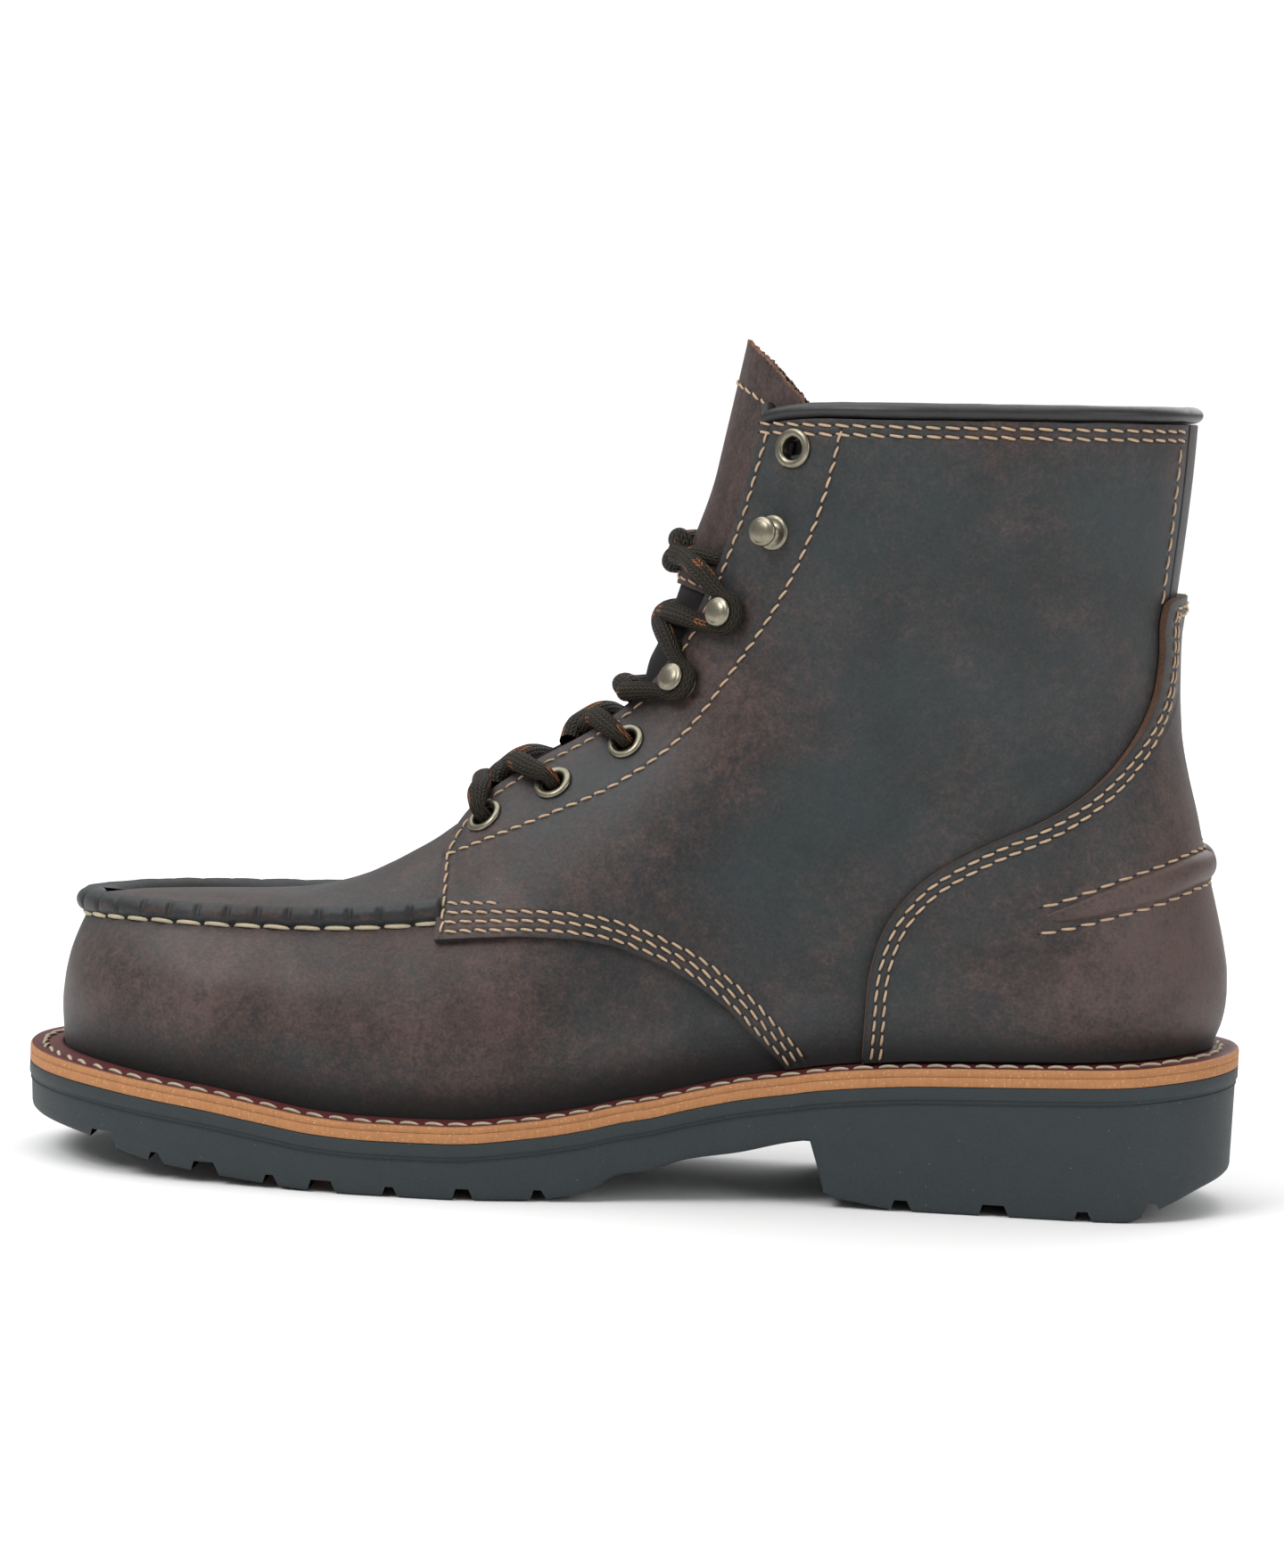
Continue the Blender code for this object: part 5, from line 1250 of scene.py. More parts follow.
def cut_eyelet_holes(last, piece):
    """Opens round holes for the eyelets' barrels in a sheet."""

    def open_holes(work):
        for point, normal in eyelet_axes(last, 0.0):
            centre, axis = Vector(point), Vector(normal)

            def radial(place):
                off = place - centre
                return off - axis * off.dot(axis), abs(off.dot(axis))

            gone = []
            for face in work.faces:
                off, depth = radial(face.calc_center_median())
                if depth < HOLE_DEPTH and off.length < HOLE_RADIUS:
                    gone.append(face)
            rim = {vert for face in gone for vert in face.verts}
            bmesh.ops.delete(work, geom=gone, context="FACES")
            for vert in rim:
                if vert.is_valid and vert.is_boundary:
                    off, _ = radial(vert.co)
                    vert.co += off.normalized() * HOLE_RADIUS - off

    rework(piece.data, open_holes)


def quarter_places(last, side):
    """Places of a quarter: columns from its front edge to its back edge, rows from its lower edge up."""
    back = BACK_MIDDLE - QUARTER_BACK_TURN / QUARTER_TURN
    columns = np.concatenate((
        (0.0, 0.05, 0.12), np.linspace(0.2, LAST_FACING, 104),
        np.linspace(LAST_FACING, LAST_STRAIGHT, 46)[1:],
        np.linspace(LAST_STRAIGHT, back, 40)[1:],
    ))[:, None]

    def above_seam(share):
        x, z = last.shaft_point(columns, share, side)
        seam = along(VAMP_SEAM, last.station(x)) * last.height
        return z < np.maximum(seam, last.panel_foot(x))

    low = last.halved(np.zeros(columns.shape), np.full(columns.shape, 0.95), above_seam)
    rows = graded(112, True)[None]
    return last.shaft_point(columns, mixed(low, facing_share(columns), rows), side)


def make_quarters(last):
    """Outer quarters with their eyestay, lapped over the vamp and cut raw at the back."""
    for name, side in (("quarter_lateral", LATERAL), ("quarter_medial", MEDIAL)):
        x, z = quarter_places(last, side)
        points, _ = last.skin(x, z, side, last.size.layer_gap)
        facing = np.stack((x[:, -1], z[:, -1]), -1)[:FACING_STEPS]
        front = np.stack((x[0], z[0]), -1)
        stay = dense(np.array(STAY_ROW) * MM)
        own = hide_values(
            last, x, z,
            edge_mm=edge_distance(line_of(last, VAMP_SEAM[:VAMP_SHOWN])[::3], x, z) / MM,
            facing_mm=np.minimum(edge_distance(facing, x, z), edge_distance(front, x, z)) / MM,
            collar_mm=(last.collar_z(x) - z) / MM,
            stay_mm=row_offset(stay[::3], x, z) / MM,
        )
        parts = [(points, own, side == MEDIAL)]
        piece = sheet_piece(name + "_skin", parts, ["hide_quarter", "dark_raw"])
        cut_eyelet_holes(last, piece)
        thicken(piece, last.size.panel, True, rim=1)
        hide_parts(name)


def make_counter(last):
    """Counter cover: wraps the heel from one front edge round the back to the other."""
    lift = 2 * last.size.layer_gap + last.size.panel
    edge = line_of(last, COUNTER_EDGE)
    length = run_length(edge)
    wanted = mixed(0.012, 1.0, np.linspace(0, 1, 150)) * length[-1]
    edge_x, edge_z = (np.interp(wanted, length, edge[:, k]) for k in (0, 1))

    def heel_run(x, z):
        """Length round the heel from its seam, behind it positive."""
        back, seam = last.back_x(z), last.heel_x(QUARTER_TURN, z)
        turn = np.arccos(np.clip(1 - (back - x) / (back - seam), -1, 1))
        return np.where(x < seam, x - seam, (QUARTER_TURN - turn) * (back - seam))

    share = np.linspace(0, 1, len(wanted))
    top_run = heel_run(edge_x, edge_z)
    top_run[-1] = QUARTER_TURN * (last.back_x(edge_z[-1]) - last.heel_x(QUARTER_TURN, edge_z[-1]))
    low_z = last.panel_foot(edge_x[0])
    back_run = QUARTER_TURN * (last.back_x(0.041) - last.heel_x(QUARTER_TURN, 0.041))
    foot_run = mixed(heel_run(edge_x[0], low_z), back_run, share**1.15)
    rows = graded(96, False)[None]
    parts = []
    for side in SIDES:
        x = np.repeat(edge_x[:, None], rows.size, 1)
        for _ in range(3):
            z = mixed(edge_z[:, None], last.panel_foot(x[:, -1:]), rows)
            seam, back = last.heel_x(QUARTER_TURN, z), last.back_x(z)
            full = QUARTER_TURN * (back - seam)
            run = mixed(top_run[:, None], foot_run[:, None], rows)
            run[-1] = full[-1]
            turned = last.heel_x(QUARTER_TURN - np.clip(run, 0, full) / (back - seam), z)
            x = np.where(run < 0, seam + run, turned)
        points, _ = last.skin(x, z, sided(x.shape, side, -1), lift)
        own = hide_values(last, x, z, edge_mm=edge_distance(edge[::3], x, z) / MM)
        parts.append((points, own, side == LATERAL))
    piece = sheet_piece("counter_skin", parts, ["hide_counter", "raw"], 3e-5)
    thicken(piece, last.size.panel, True, rim=1)
    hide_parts("counter")


def make_backstay(last):
    """Strip between the quarters, from the counter's top to the collar."""
    parts = []
    column = (BACK_MIDDLE - np.linspace(BACKSTAY_TURN, 0, 12) / QUARTER_TURN)[:, None]
    for side in SIDES:
        x, z = last.shaft_point(column, np.linspace(0.55, 1, 70)[None], side)
        points, _ = last.skin(x, z, sided(x.shape, side, -1), last.size.layer_gap)
        tone, warm = hide_marks_and_painted_light(last, x, z)
        parts.append((points, {"tone": tone - 0.2, "warm": warm, "foot_mm": FAR_UP}, side == MEDIAL))
    piece = sheet_piece("backstay_skin", parts, ["hide_plain", "dark_raw"], 3e-5)
    thicken(piece, 0.0013, True, rim=1)
    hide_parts("backstay")


def strip_grid(points, normals, section, scales):
    """Raised strip along a path; the section holds steps across and out."""
    across = unit(np.cross(normals, unit(np.gradient(points, axis=0))))
    fine = dense(np.array(section), 0.35)
    scales = np.asarray(scales)[:, None]
    out = fine[0, 1] + (fine[:, 1] - fine[0, 1]) * scales
    beside = fine[:, 0] * scales
    return laid_out(points, across, beside, normals, out)


def laid_out(points, across, beside, normals, out):
    """Grid of points moved aside and out by millimetres."""
    return points[:, None] + across[:, None] * beside[..., None] * MM + normals[:, None] * out[..., None] * MM


def kick_path(last, count):
    """Path of the heel kick from its front end to the back: x, z, and share of the full section."""
    turn = QUARTER_TURN * (1 - np.linspace(0, 1, count))
    share = 1 - np.cos(turn)
    z = along(KICK, share) * last.height
    back = last.back_x(z)
    x = back - (back - last.x_of(KICK_END)) * share
    return x, z, along(KICK, share, 2)


def make_kick(last):
    """Rolled ridge across the counter that a boot jack or the other heel pushes on."""
    lift = 2 * last.size.layer_gap + 2 * last.size.panel - 0.0006
    paths = []
    for side in SIDES:
        x, z, scale = kick_path(last, 70)
        paths.append((*last.skin(x, z, sided(x.shape, side, -1), lift), scale))
    points, normals, scale = joined_halves(paths)
    ends = np.minimum(np.arange(len(scale)), np.arange(len(scale))[::-1]) / 8
    scale = scale * round_off(ends, 2.0) + 0.02
    grid = strip_grid(points, normals, KICK_SECTION, scale)
    tone, warm = hide_marks_and_painted_light(last, grid[..., 0], grid[..., 2])
    own = {"tone": tone + 0.15, "warm": warm + 0.2, "foot_mm": FAR_UP}
    piece = sheet_piece("heel_kick_skin", [(grid, own, True)], ["hide_plain"])
    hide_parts("heel_kick")


def moc_path(last):
    """Path of the plug's seam from the lateral throat round the toe to the medial throat."""
    halves = []
    for side in SIDES:
        column = two_runs(0, 1, 1, 110, 170)
        x, z = last.wall_point(column, np.ones(column.shape), side)
        halves.append(last.skin(x, z, sided(x.shape, side, 0)))
    return [np.concatenate((one[::-1], other[1:])) for one, other in zip(*halves)]


MOC_PITCH = 0.0078
ROLL_STEPS = 16
# The roll runs on to the quarter
ROLL_UNDER = 0.0040


def make_plug_roll(last):
    """Raised moc seam round the plug: the wall's leather gathered over a roll, pulled in at each stitch."""
    points, normals = moc_path(last)
    for end, before in ((0, 3), (-1, -4)):
        points[end] += unit(points[end] - points[before]) * ROLL_UNDER
    length = run_length(points)
    count = int(round(length[-1] / MOC_PITCH))
    even = np.linspace(0, length[-1], count * ROLL_STEPS + 1)
    points = at_length(even, length, points)
    normals = unit(at_length(even, length, normals))
    phase = (np.arange(len(even)) % ROLL_STEPS) / ROLL_STEPS
    pinch = np.exp(-((np.minimum(phase, 1 - phase) / 0.07) ** 2))
    swell = np.sin(math.pi * phase) ** 0.7
    chance = np.random.default_rng(RANDOM_SEED)
    wobble = uneven(chance, len(even), 8, 0, 0.12)
    section = [(-step, out) for step, out in ROLL_SECTION]
    run = unit(np.gradient(points, axis=0))
    across = unit(np.cross(normals, run))
    fine = dense(np.array(section), 0.3)
    top = np.clip(fine[:, 1] / 4.2, 0, 1)
    wall_side = np.exp(-((fine[:, 0] - 0.2) / 2.6) ** 2)
    out = fine[:, 1] * (1 - (0.20 * pinch - 0.05 * swell)[:, None] * wall_side) + wobble[:, None] * top
    beside = fine[:, 0] - pinch[:, None] * wall_side * top * 0.75
    grid = laid_out(points, across, beside, normals, out)
    grid[0] = grid[0].mean(0)
    grid[-1] = grid[-1].mean(0)
    worn = chance.uniform(0.1, 0.9, len(even) // ROLL_STEPS + 2)[np.arange(len(even)) // ROLL_STEPS]
    near_top = np.exp(-(((fine[:, 0] - 0.6) / 1.1) ** 2)) * (fine[:, 1] > 2.4)
    # Tone of the roll: darker overall, painted shade in the creases where each stitch pulls it in, and
    # lighter rubbed wear on the top of some swells
    tone = -0.8 - 2.2 * pinch[:, None] * wall_side + (worn * swell)[:, None] * near_top
    own = {"tone": tone, "warm": -0.15 + 0.6 * near_top * worn[:, None], "foot_mm": FAR_UP}
    piece = sheet_piece("plug_roll_skin", [(grid, own, False)], ["hide_plain"])
    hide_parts("plug_roll")
    moc = Seams(last.size.moc_thread)
    beside_roll = points + across * 1.2 * MM + normals * 0.3 * MM
    moc.sew(beside_roll, unit(normals + across * 0.7), MOC_PITCH, gap=0.13, slant=0.3)
    moc.make("moc_stitches", "moc_thread", "binding_leather")


def make_binding(last):
    """Rolled collar: a soft tube over the quarters' top edge, from facing to facing."""
    halves = []
    for side in SIDES:
        column = two_runs(LAST_FACING - 0.12, LAST_STRAIGHT, 1, 90, 60)
        x, z = last.shaft_point(column, np.ones(column.shape), side)
        z = z + np.where(column < LAST_FACING, last.collar_z(x) - z, 0)
        points, normals = last.skin(x, z, sided(x.shape, side, -1))
        halves.append((points, unit(normals * (1, 1, 0))))
    points, normals = joined_halves(halves)
    centre = points + np.array((0, 0, 1)) * (0.0018 + last.size.layer_gap)
    ends = np.minimum(np.arange(len(centre)), np.arange(len(centre))[::-1]) / 3.0
    radii = 0.0029 * round_off(np.minimum(ends, 1) * 0.98 + 0.02, 2.0)
    run = unit(np.gradient(centre, axis=0))
    angle = circle(24)
    chance = np.random.default_rng(RANDOM_SEED + 1)
    swell = uneven(chance, len(centre), 6, 1, 0.025)
    ring = normals[:, None] * np.cos(angle)[:, None] + np.array((0, 0, 0.72)) * np.sin(angle)[:, None]
    grid = centre[:, None] + ring * (radii * swell)[:, None, None]
    faces = grid_faces(len(centre), 24, True, ring=True)
    piece = new_piece("collar_binding_skin", grid, faces, ["binding"])
    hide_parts("collar_binding")


def tongue_places(last, rows, shares, extra=0.0):
    """Points of the tongue's outer face for ridge places and signed width shares."""
    row, share = np.meshgrid(rows, shares, indexing="ij")
    first, final = TONGUE[0][0], TONGUE[-1][0]
    upto = (row - first) / (final - first)
    place = row - 0.8 * share * share * upto**4
    half = along(TONGUE, row) * MM
    width = np.abs(share) * half
    side = np.where(share < 0, LATERAL, MEDIAL)
    gap = last.ridge_at(place)[0][..., 4]
    rise = smooth((place - 13.2) / 2.6) * smooth(1.12 * (1 - width / np.maximum(gap, 0.001)))
    # It swells between the facings where the laces press beside it
    free = smooth((place - 14.3) / 1.4) * smooth((19.6 - place) / 2.2)
    swell = TONGUE_SWELL * free * smooth(1.5 * (1 - width / np.maximum(gap, 0.001)))
    lift = -TONGUE_UNDER + rise * TONGUE_UNDER + swell + extra
    x, z = last.gap_place(place, np.maximum(width, 1.5e-5), side)
    points, _ = last.skin(x, z, side, lift)
    return points


def make_tongue(last):
    """Tongue: black suede below, a brown leather cover above, both with a raw top edge."""
    shares = np.linspace(-1, 1, 61)
    rows = np.linspace(TONGUE[0][0], TONGUE[-1][0] - 0.09, 150)
    points = tongue_places(last, rows, shares)
    own = {"tone": -0.1, "warm": 0.0, "foot_mm": FAR_UP}
    piece = sheet_piece("tongue_suede", [(points, own, False)], ["suede"])
    thicken(piece, TONGUE_THICK - 0.0012, False, bevel=0.0005)
    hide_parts("tongue")
    rows = np.linspace(TONGUE_COVER_START, TONGUE[-1][0], 90)
    shares = np.linspace(-0.985, 0.985, 241)
    points = tongue_places(last, rows, shares, 0.0012)
    chance = np.random.default_rng(RANDOM_SEED + 2)
    points[-1] += np.array((0, 0, 1)) * chance.normal(0, 0.32 * MM, (241, 1))
    own = {"tone": 0.1, "warm": 0.25, "foot_mm": FAR_UP}
    piece = sheet_piece("tongue_cover", [(points, own, False)], ["hide_plain", "frayed"])
    thicken(piece, 0.0012, False, rim=1, bevel=0.0003)


def turned(profile, sides=40):
    """Rings of a turned profile about +Z, in metres."""
    profile = np.array(profile) * MM
    angle = circle(sides)
    ring = np.stack((np.cos(angle), np.sin(angle), np.zeros(sides)), -1)
    return ring[None] * profile[:, 0][:, None, None] + np.array((0, 0, 1)) * profile[:, 1][:, None, None]


def set_on(rings, point, normal):
    """Rings moved so that +Z becomes the normal at a point."""
    across = unit(np.cross(normal, (0, 0, 1)))
    other = np.cross(normal, across)
    return point + rings[..., 0:1] * across + rings[..., 1:2] * other + rings[..., 2:3] * normal


def make_fittings(last):
    """Rolled eyelets, and domed lace hooks on their base rings."""
    kinds = (("eyelet", EYELETS, (EYELET_PROFILE,)), ("hook", HOOKS, (HOOK_BASE, HOOK_HEAD)))
    for kind, rows, profiles in kinds:
        for label, side in (("lateral", LATERAL), ("medial", MEDIAL)):
            x, z = last.shown(rows, side, last.panel)
            points, normals = last.skin(x, z, side, last.panel)
            for index, (point, normal) in enumerate(zip(points, normals)):
                made, faces, first = [], [], 0
                for profile in profiles:
                    rings = set_on(turned(profile), point, normal)
                    faces.append(grid_faces(*rings.shape[:2], flip=False, first=first, ring=True))
                    first += rings.shape[0] * rings.shape[1]
                    made.append(rings.reshape(-1, 3))
                name = f"{kind}_{label}_{index + 1}"
                rings, quads = np.concatenate(made), np.concatenate(faces)
                piece = new_piece(name + "_metal", rings, quads, ["brass"], None, 1e-6)
                rework(piece.data, face_outward)
                piece.data.set_sharp_from_angle(angle=math.radians(50))
                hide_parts(name)


def over_gap(last, place, width, lift):
    """Point at a ridge place, a signed distance from the middle, lifted, all in millimetres."""
    side = LATERAL if width < 0 else MEDIAL
    if abs(width) < 0.05:
        row, _ = last.ridge_at(place)
        return last.skin(row[0], row[1], 0, lift * MM)[0]
    x, z = last.gap_place(np.array([float(place)]), abs(width) * MM, side)
    return last.skin(x, z, side, lift * MM)[0][0]


def edge_spot(last, place, side):
    x, z = last.gap_place(np.array([float(place)]), last.ridge_at(place)[0][4], side)
    return float(x[0]), float(z[0])


def lifted(last, spot, side, lift):
    return last.skin(spot[0], spot[1], side, lift * MM)[0]


def into_eyelet(last, eyelet, edge, side):
    """Points over the facing's edge and down into an eyelet, each with the lace's radius."""
    radius = last.size.lace / MM
    between = (mixed(edge[0], eyelet[0], 0.6), mixed(edge[1], eyelet[1], 0.6))
    return [
        (lifted(last, edge, side, 4.6), radius),
        (lifted(last, between, side, 5.6), radius),
        (lifted(last, eyelet, side, 4.9), LACE_IN_HOLE),
        (lifted(last, eyelet, side, 2.2), LACE_IN_HOLE),
        (lifted(last, eyelet, side, -0.6), LACE_IN_HOLE),
    ]


def from_edge(last, place, step, side, lower):
    """Points from beside a facing's own edge to the far half of the gap."""
    gap = last.ridge_at(place)[0][4] / MM
    radius = last.size.lace / MM
    # The lateral strand passes over the medial one
    over = 1.3 if side == LATERAL else -0.9
    return [
        (over_gap(last, place + 0.15, side * (gap - 3.2), 1.2), radius),
        (over_gap(last, place + 0.32 * step, side * gap * 0.35, 3.6 + over - lower), radius),
        (over_gap(last, place + 0.62 * step, -side * gap * 0.45, 4.4 + over - lower), radius),
    ]


def round_hook(last, hook, level, side):
    """Points that come over the facing's edge, pass behind a hook and go back over the edge."""
    radius = last.size.lace / MM
    place = HOOK_PLACES[level]
    before, after = HOOK_LEADS[level]
    near, normal = last.skin(hook[0], hook[1], side)
    _, inward = last.ridge_at(place)
    up_run = np.array((-inward[1], 0, inward[0]))
    up_run = unit(up_run - normal * up_run.dot(normal))
    away = np.cross(normal, up_run)
    if away[1] * side < 0:
        away = -away
    centre = near + normal * LACE_ON_HOOK * MM
    points = [(lifted(last, edge_spot(last, place - before, side), side, 5.2), radius)]
    for up, out in ((-3.9, -1.4), (-3.0, 2.8), (0.0, 4.1), (3.0, 2.8), (3.9, -1.4)):
        points.append((centre + (up_run * up + away * out) * MM, LACE_IN_HOLE))
    points.append((lifted(last, edge_spot(last, place + after, side), side, 5.3), radius))
    return points


def lace_paths(last):
    """Strands of the lace in three groups, as the solids have them."""
    eyelet_of, hook_of = {}, {}
    for side in SIDES:
        eyelet_of[side] = list(zip(*last.shown(EYELETS, side, last.panel)))
        hook_of[side] = list(zip(*last.shown(HOOKS, side, last.panel)))
    radius = last.size.lace / MM
    first = EYELET_PLACES[0]
    ends = [into_eyelet(last, eyelet_of[s][0], edge_spot(last, first, s), s) for s in SIDES]
    bar = ends[0][::-1] + [(over_gap(last, first, 0.0, 4.6), radius)] + ends[1]
    groups = [[bar], [], []]
    for side in SIDES:
        for level in (0, 1):
            place = EYELET_PLACES[level]
            step = EYELET_PLACES[level + 1] - place
            edge = edge_spot(last, place + EDGE_SHARE * step, -side)
            crossing = from_edge(last, place, EDGE_SHARE * step, side, 2.2)
            groups[level].append(crossing + into_eyelet(last, eyelet_of[-side][level + 1], edge, -side))
        place = EYELET_PLACES[2]
        path = from_edge(last, place, HOOK_PLACES[0] - HOOK_LEADS[0][0] - place, side, 1.2)
        path += round_hook(last, hook_of[-side][0], 0, -side)
        middle = (HOOK_PLACES[0] + HOOK_PLACES[1]) / 2
        path.append((over_gap(last, middle - 0.05, 0.0, 4.6), radius))
        path += round_hook(last, hook_of[side][1], 1, side)
        for place, width, lift, share in LACE_KNOT[side]:
            path.append((over_gap(last, place, side * width, lift), radius * share))
        groups[2].append(path)
    return groups


def make_lace(last):
    """Round braided lace through the eyelets and behind the hooks."""
    names = ("lace_lower", "lace_middle", "lace_upper")
    for name, strands in zip(names, lace_paths(last)):
        made, faces, uvs, first = [], [], [], 0
        for strand in strands:
            table = np.array([(*point, radius) for point, radius in strand])
            fine = dense(table)
            path, radii = fine[:, :3], fine[:, 3] * MM * LACE_SWELL
            normals = transported(path)
            sides = 20
            rings = tube_rings(path, normals, radii, sides)
            length = run_length(path)
            rings = np.concatenate((rings, rings[:, :1]), 1)
            around, forward = np.meshgrid(np.linspace(0, 1, sides + 1), length)
            made.append(rings.reshape(-1, 3))
            uvs.append(np.stack((around, forward), -1).reshape(-1, 2))
            faces.append(grid_faces(len(path), sides + 1, True, first))
            first += rings.shape[0] * rings.shape[1]
        points, faces, uv = (np.concatenate(rows) for rows in (made, faces, uvs))
        piece = new_piece(name + "_braid", points, faces, ["lace"], uv=uv)
        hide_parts(name)


def transported(path):
    """Normals that turn as little as they can along a path."""
    run = unit(np.gradient(path, axis=0))
    normal = unit(np.cross(run[0], (0.3, 0.2, 0.9)))
    found = []
    for direction in run:
        normal = unit(normal - direction * normal.dot(direction))
        found.append(normal)
    return np.array(found)


def foot_ring(last, lift):
    """Closed ring in plan round the foot of the upper, moved out by lift, and how many points a side has."""
    halves = []
    for side in SIDES:
        column = two_runs(0, 1, 1, 60, 40)
        x, _ = last.wall_point(column, np.zeros(column.shape), side)
        shaft = two_runs(0, LAST_STRAIGHT, 1, 100, 50)
        shaft_x, _ = last.shaft_point(shaft, np.zeros(shaft.shape), side)
        x = np.concatenate((x, shaft_x))
        z = last.feather(x)
        on_side = sided(x.shape, side, 0, -1)
        width = np.where(on_side == 0, 0, last.half_width(x, z, side))
        halves.append(np.stack((x, last.axis_y(x) + on_side * width), -1))
    ring = np.concatenate((halves[0], halves[1][::-1][1:-1]))
    return ring + outward_of(ring) * lift, len(halves[0])


def sole_ring(last, inner, half_count, inset):
    """Points of the sole's outline that match a ring inside it, moved in by inset."""
    x = inner[:, 0]
    share = (x - x.min()) / (x.max() - x.min())
    sole_x = last.x_of(np.clip(share, 0, 1))
    side = np.where(np.arange(len(x)) < half_count, LATERAL, MEDIAL)
    y = last.axis_y(sole_x) + side * last.sole_half(sole_x, side)
    ring = np.stack((sole_x, y), -1)
    return ring - outward_of(ring) * inset


def levelled(ring, height):
    return np.column_stack((ring, height(ring[:, 0])))


def make_welt(last):
    """Dyed welt: rises to the upper, lies flat for its stitches and is trimmed with the midsole."""
    inner, half_count = foot_ring(last, last.size.layer_gap)
    outer = sole_ring(last, inner, half_count, 0.0003)
    bottom = lambda x: last.midsole_bottom(x) + last.size.midsole + 0.00006
    # Share of the way out, height over the welt's top in millimetres
    profile = (
        (0.0, 0.6), (0.1, 0.62), (0.22, 0.35), (0.38, 0.02), (0.5, -0.22), (0.6, -0.25), (0.72, -0.02),
        (0.88, 0.02), (0.95, -0.06),
    )
    rings = [levelled(inner, bottom)]
    for share, rise in profile:
        flat = mixed(inner, outer, share)
        rings.append(np.column_stack((flat, last.welt_top(flat[:, 0]) + rise * MM)))
    tan_start = len(rings)
    for inset, drop in ((0.5, 0.12), (0.12, 0.42), (0.0, 0.9)):
        flat = sole_ring(last, inner, half_count, (0.3 + inset) * MM)
        rings.append(np.column_stack((flat, last.welt_top(flat[:, 0]) - drop * MM)))
    rings.append(levelled(outer, lambda x: bottom(x) + 0.05 * MM))
    rings.append(levelled(sole_ring(last, inner, half_count, 0.0004), bottom))
    rings.append(rings[0])
    grid = np.stack(rings, 1)
    grid = np.concatenate((grid, grid[:1]))
    columns, rows = grid.shape[:2]
    faces = grid_faces(columns, rows, False)
    piece = new_piece("welt_skin", grid, faces, ["welt", "edge"], None, 2e-6)
    tan = np.tile(np.arange(rows - 1) >= tan_start - 1, columns - 1).astype(np.int32)
    piece.data.polygons.foreach_set("material_index", tan)
    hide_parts("welt")
    stitches = Seams(last.size.welt_thread)
    flat = mixed(inner, outer, 0.55)
    row = np.column_stack((flat, last.welt_top(flat[:, 0]) - 0.22 * MM))
    row = np.concatenate((row, row[:1]))
    up = np.tile((0.0, 0.0, 1.0), (len(row), 1))
    stitches.sew(row, up, 0.006, gap=0.14, slant=1.5, drift=1.0)
    stitches.make("welt_stitches", "moc_thread", "welt_leather")


def layer_grid(last, insets):
    """Closed layer of the sole from rings of inset and height."""
    inner, half_count = foot_ring(last, 0.0)
    rings = []
    for inset, height in insets:
        flat = sole_ring(last, inner, half_count, inset * MM)
        rings.append(levelled(flat, height))
    grid = np.stack(rings, 1)
    grid = np.concatenate((grid, grid[:1]))
    columns, rows = grid.shape[:2]
    faces = [tuple(face) for face in grid_faces(columns, rows, False)]
    count = columns - 1
    for row, turn in ((0, False), (rows - 1, True)):
        for k in range(1, half_count - 1):
            quad = tuple(index * rows + row for index in (k, k + 1, count - k - 1, (count - k) % count))
            if len(set(quad)) == 4:
                faces.append(quad if turn else quad[::-1])
    return grid, faces


def make_midsole(last):
    """Tan leather midsole, its edge trimmed flush with the welt."""
    bottom = last.midsole_bottom
    top = lambda x: bottom(x) + last.size.midsole
    insets = (
        (6.0, top), (0.9, top), (0.36, top), (0.3, lambda x: top(x) - 0.00005),
        (0.3, lambda x: bottom(x) + 0.0003), (0.4, lambda x: bottom(x) + 0.0001),
        (0.9, bottom), (6.0, bottom),
    )
    grid, faces = layer_grid(last, insets)
    piece = new_piece("midsole_skin", grid, faces, ["edge"], None, 2e-6)
    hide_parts("midsole")


def make_insole(last):
    """Plain leather insole inside the boot."""
    ring, half_count = foot_ring(last, -last.size.upper_wall - 0.0006)
    low = lambda x: last.midsole_bottom(x) + last.size.midsole + 0.0003
    high = lambda x: low(x) + last.size.insole
    grid = np.stack((levelled(ring, high), levelled(ring, low)), 1)
    grid = np.concatenate((grid, grid[:1]))
    columns = grid.shape[0]
    faces = [tuple(face) for face in grid_faces(columns, 2, False)]
    count = columns - 1
    for k in range(half_count - 1):
        quad = (2 * k, 2 * (k + 1), 2 * ((count - k - 1) % count), 2 * ((count - k) % count))
        if len(set(quad)) >= 3:
            unique = tuple(dict.fromkeys(quad))
            faces.append(unique[::-1])
            faces.append(tuple(index + 1 for index in unique))
    piece = new_piece("insole_skin", grid, faces, ["lining"], None, 2e-6)
    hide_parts("insole")


# Notches between the lugs: station, share of the length it is wide, depth in millimetres
NOTCHES = (
    (0.084, 0.02, 3.0), (0.131, 0.01, 2.6), (0.172, 0.02, 3.0), (0.226, 0.01, 2.6), (0.268, 0.02, 3.0),
    (0.323, 0.01, 2.6), (0.381, 0.014, 3.0), (0.44, 0.01, 2.6), (0.728, 0.014, 2.8), (0.802, 0.021, 3.0),
    (0.873, 0.012, 2.6), (0.928, 0.012, 2.6),
)
NOTCH_REACH = 0.021
# Side of the outsole: inset and drop below its top in millimetres
OUTSOLE_SIDE = (
    (6.0, 0.0), (0.8, 0.0), (0.38, 0.1), (0.3, 0.4), (0.3, 2.9), (0.42, 3.15), (0.85, 3.45), (0.92, 3.6),
    (0.9, 3.9), (0.9, 4.2), (0.62, 4.32), (0.62, 4.42), (0.92, 4.55), (0.9, 4.8),
)


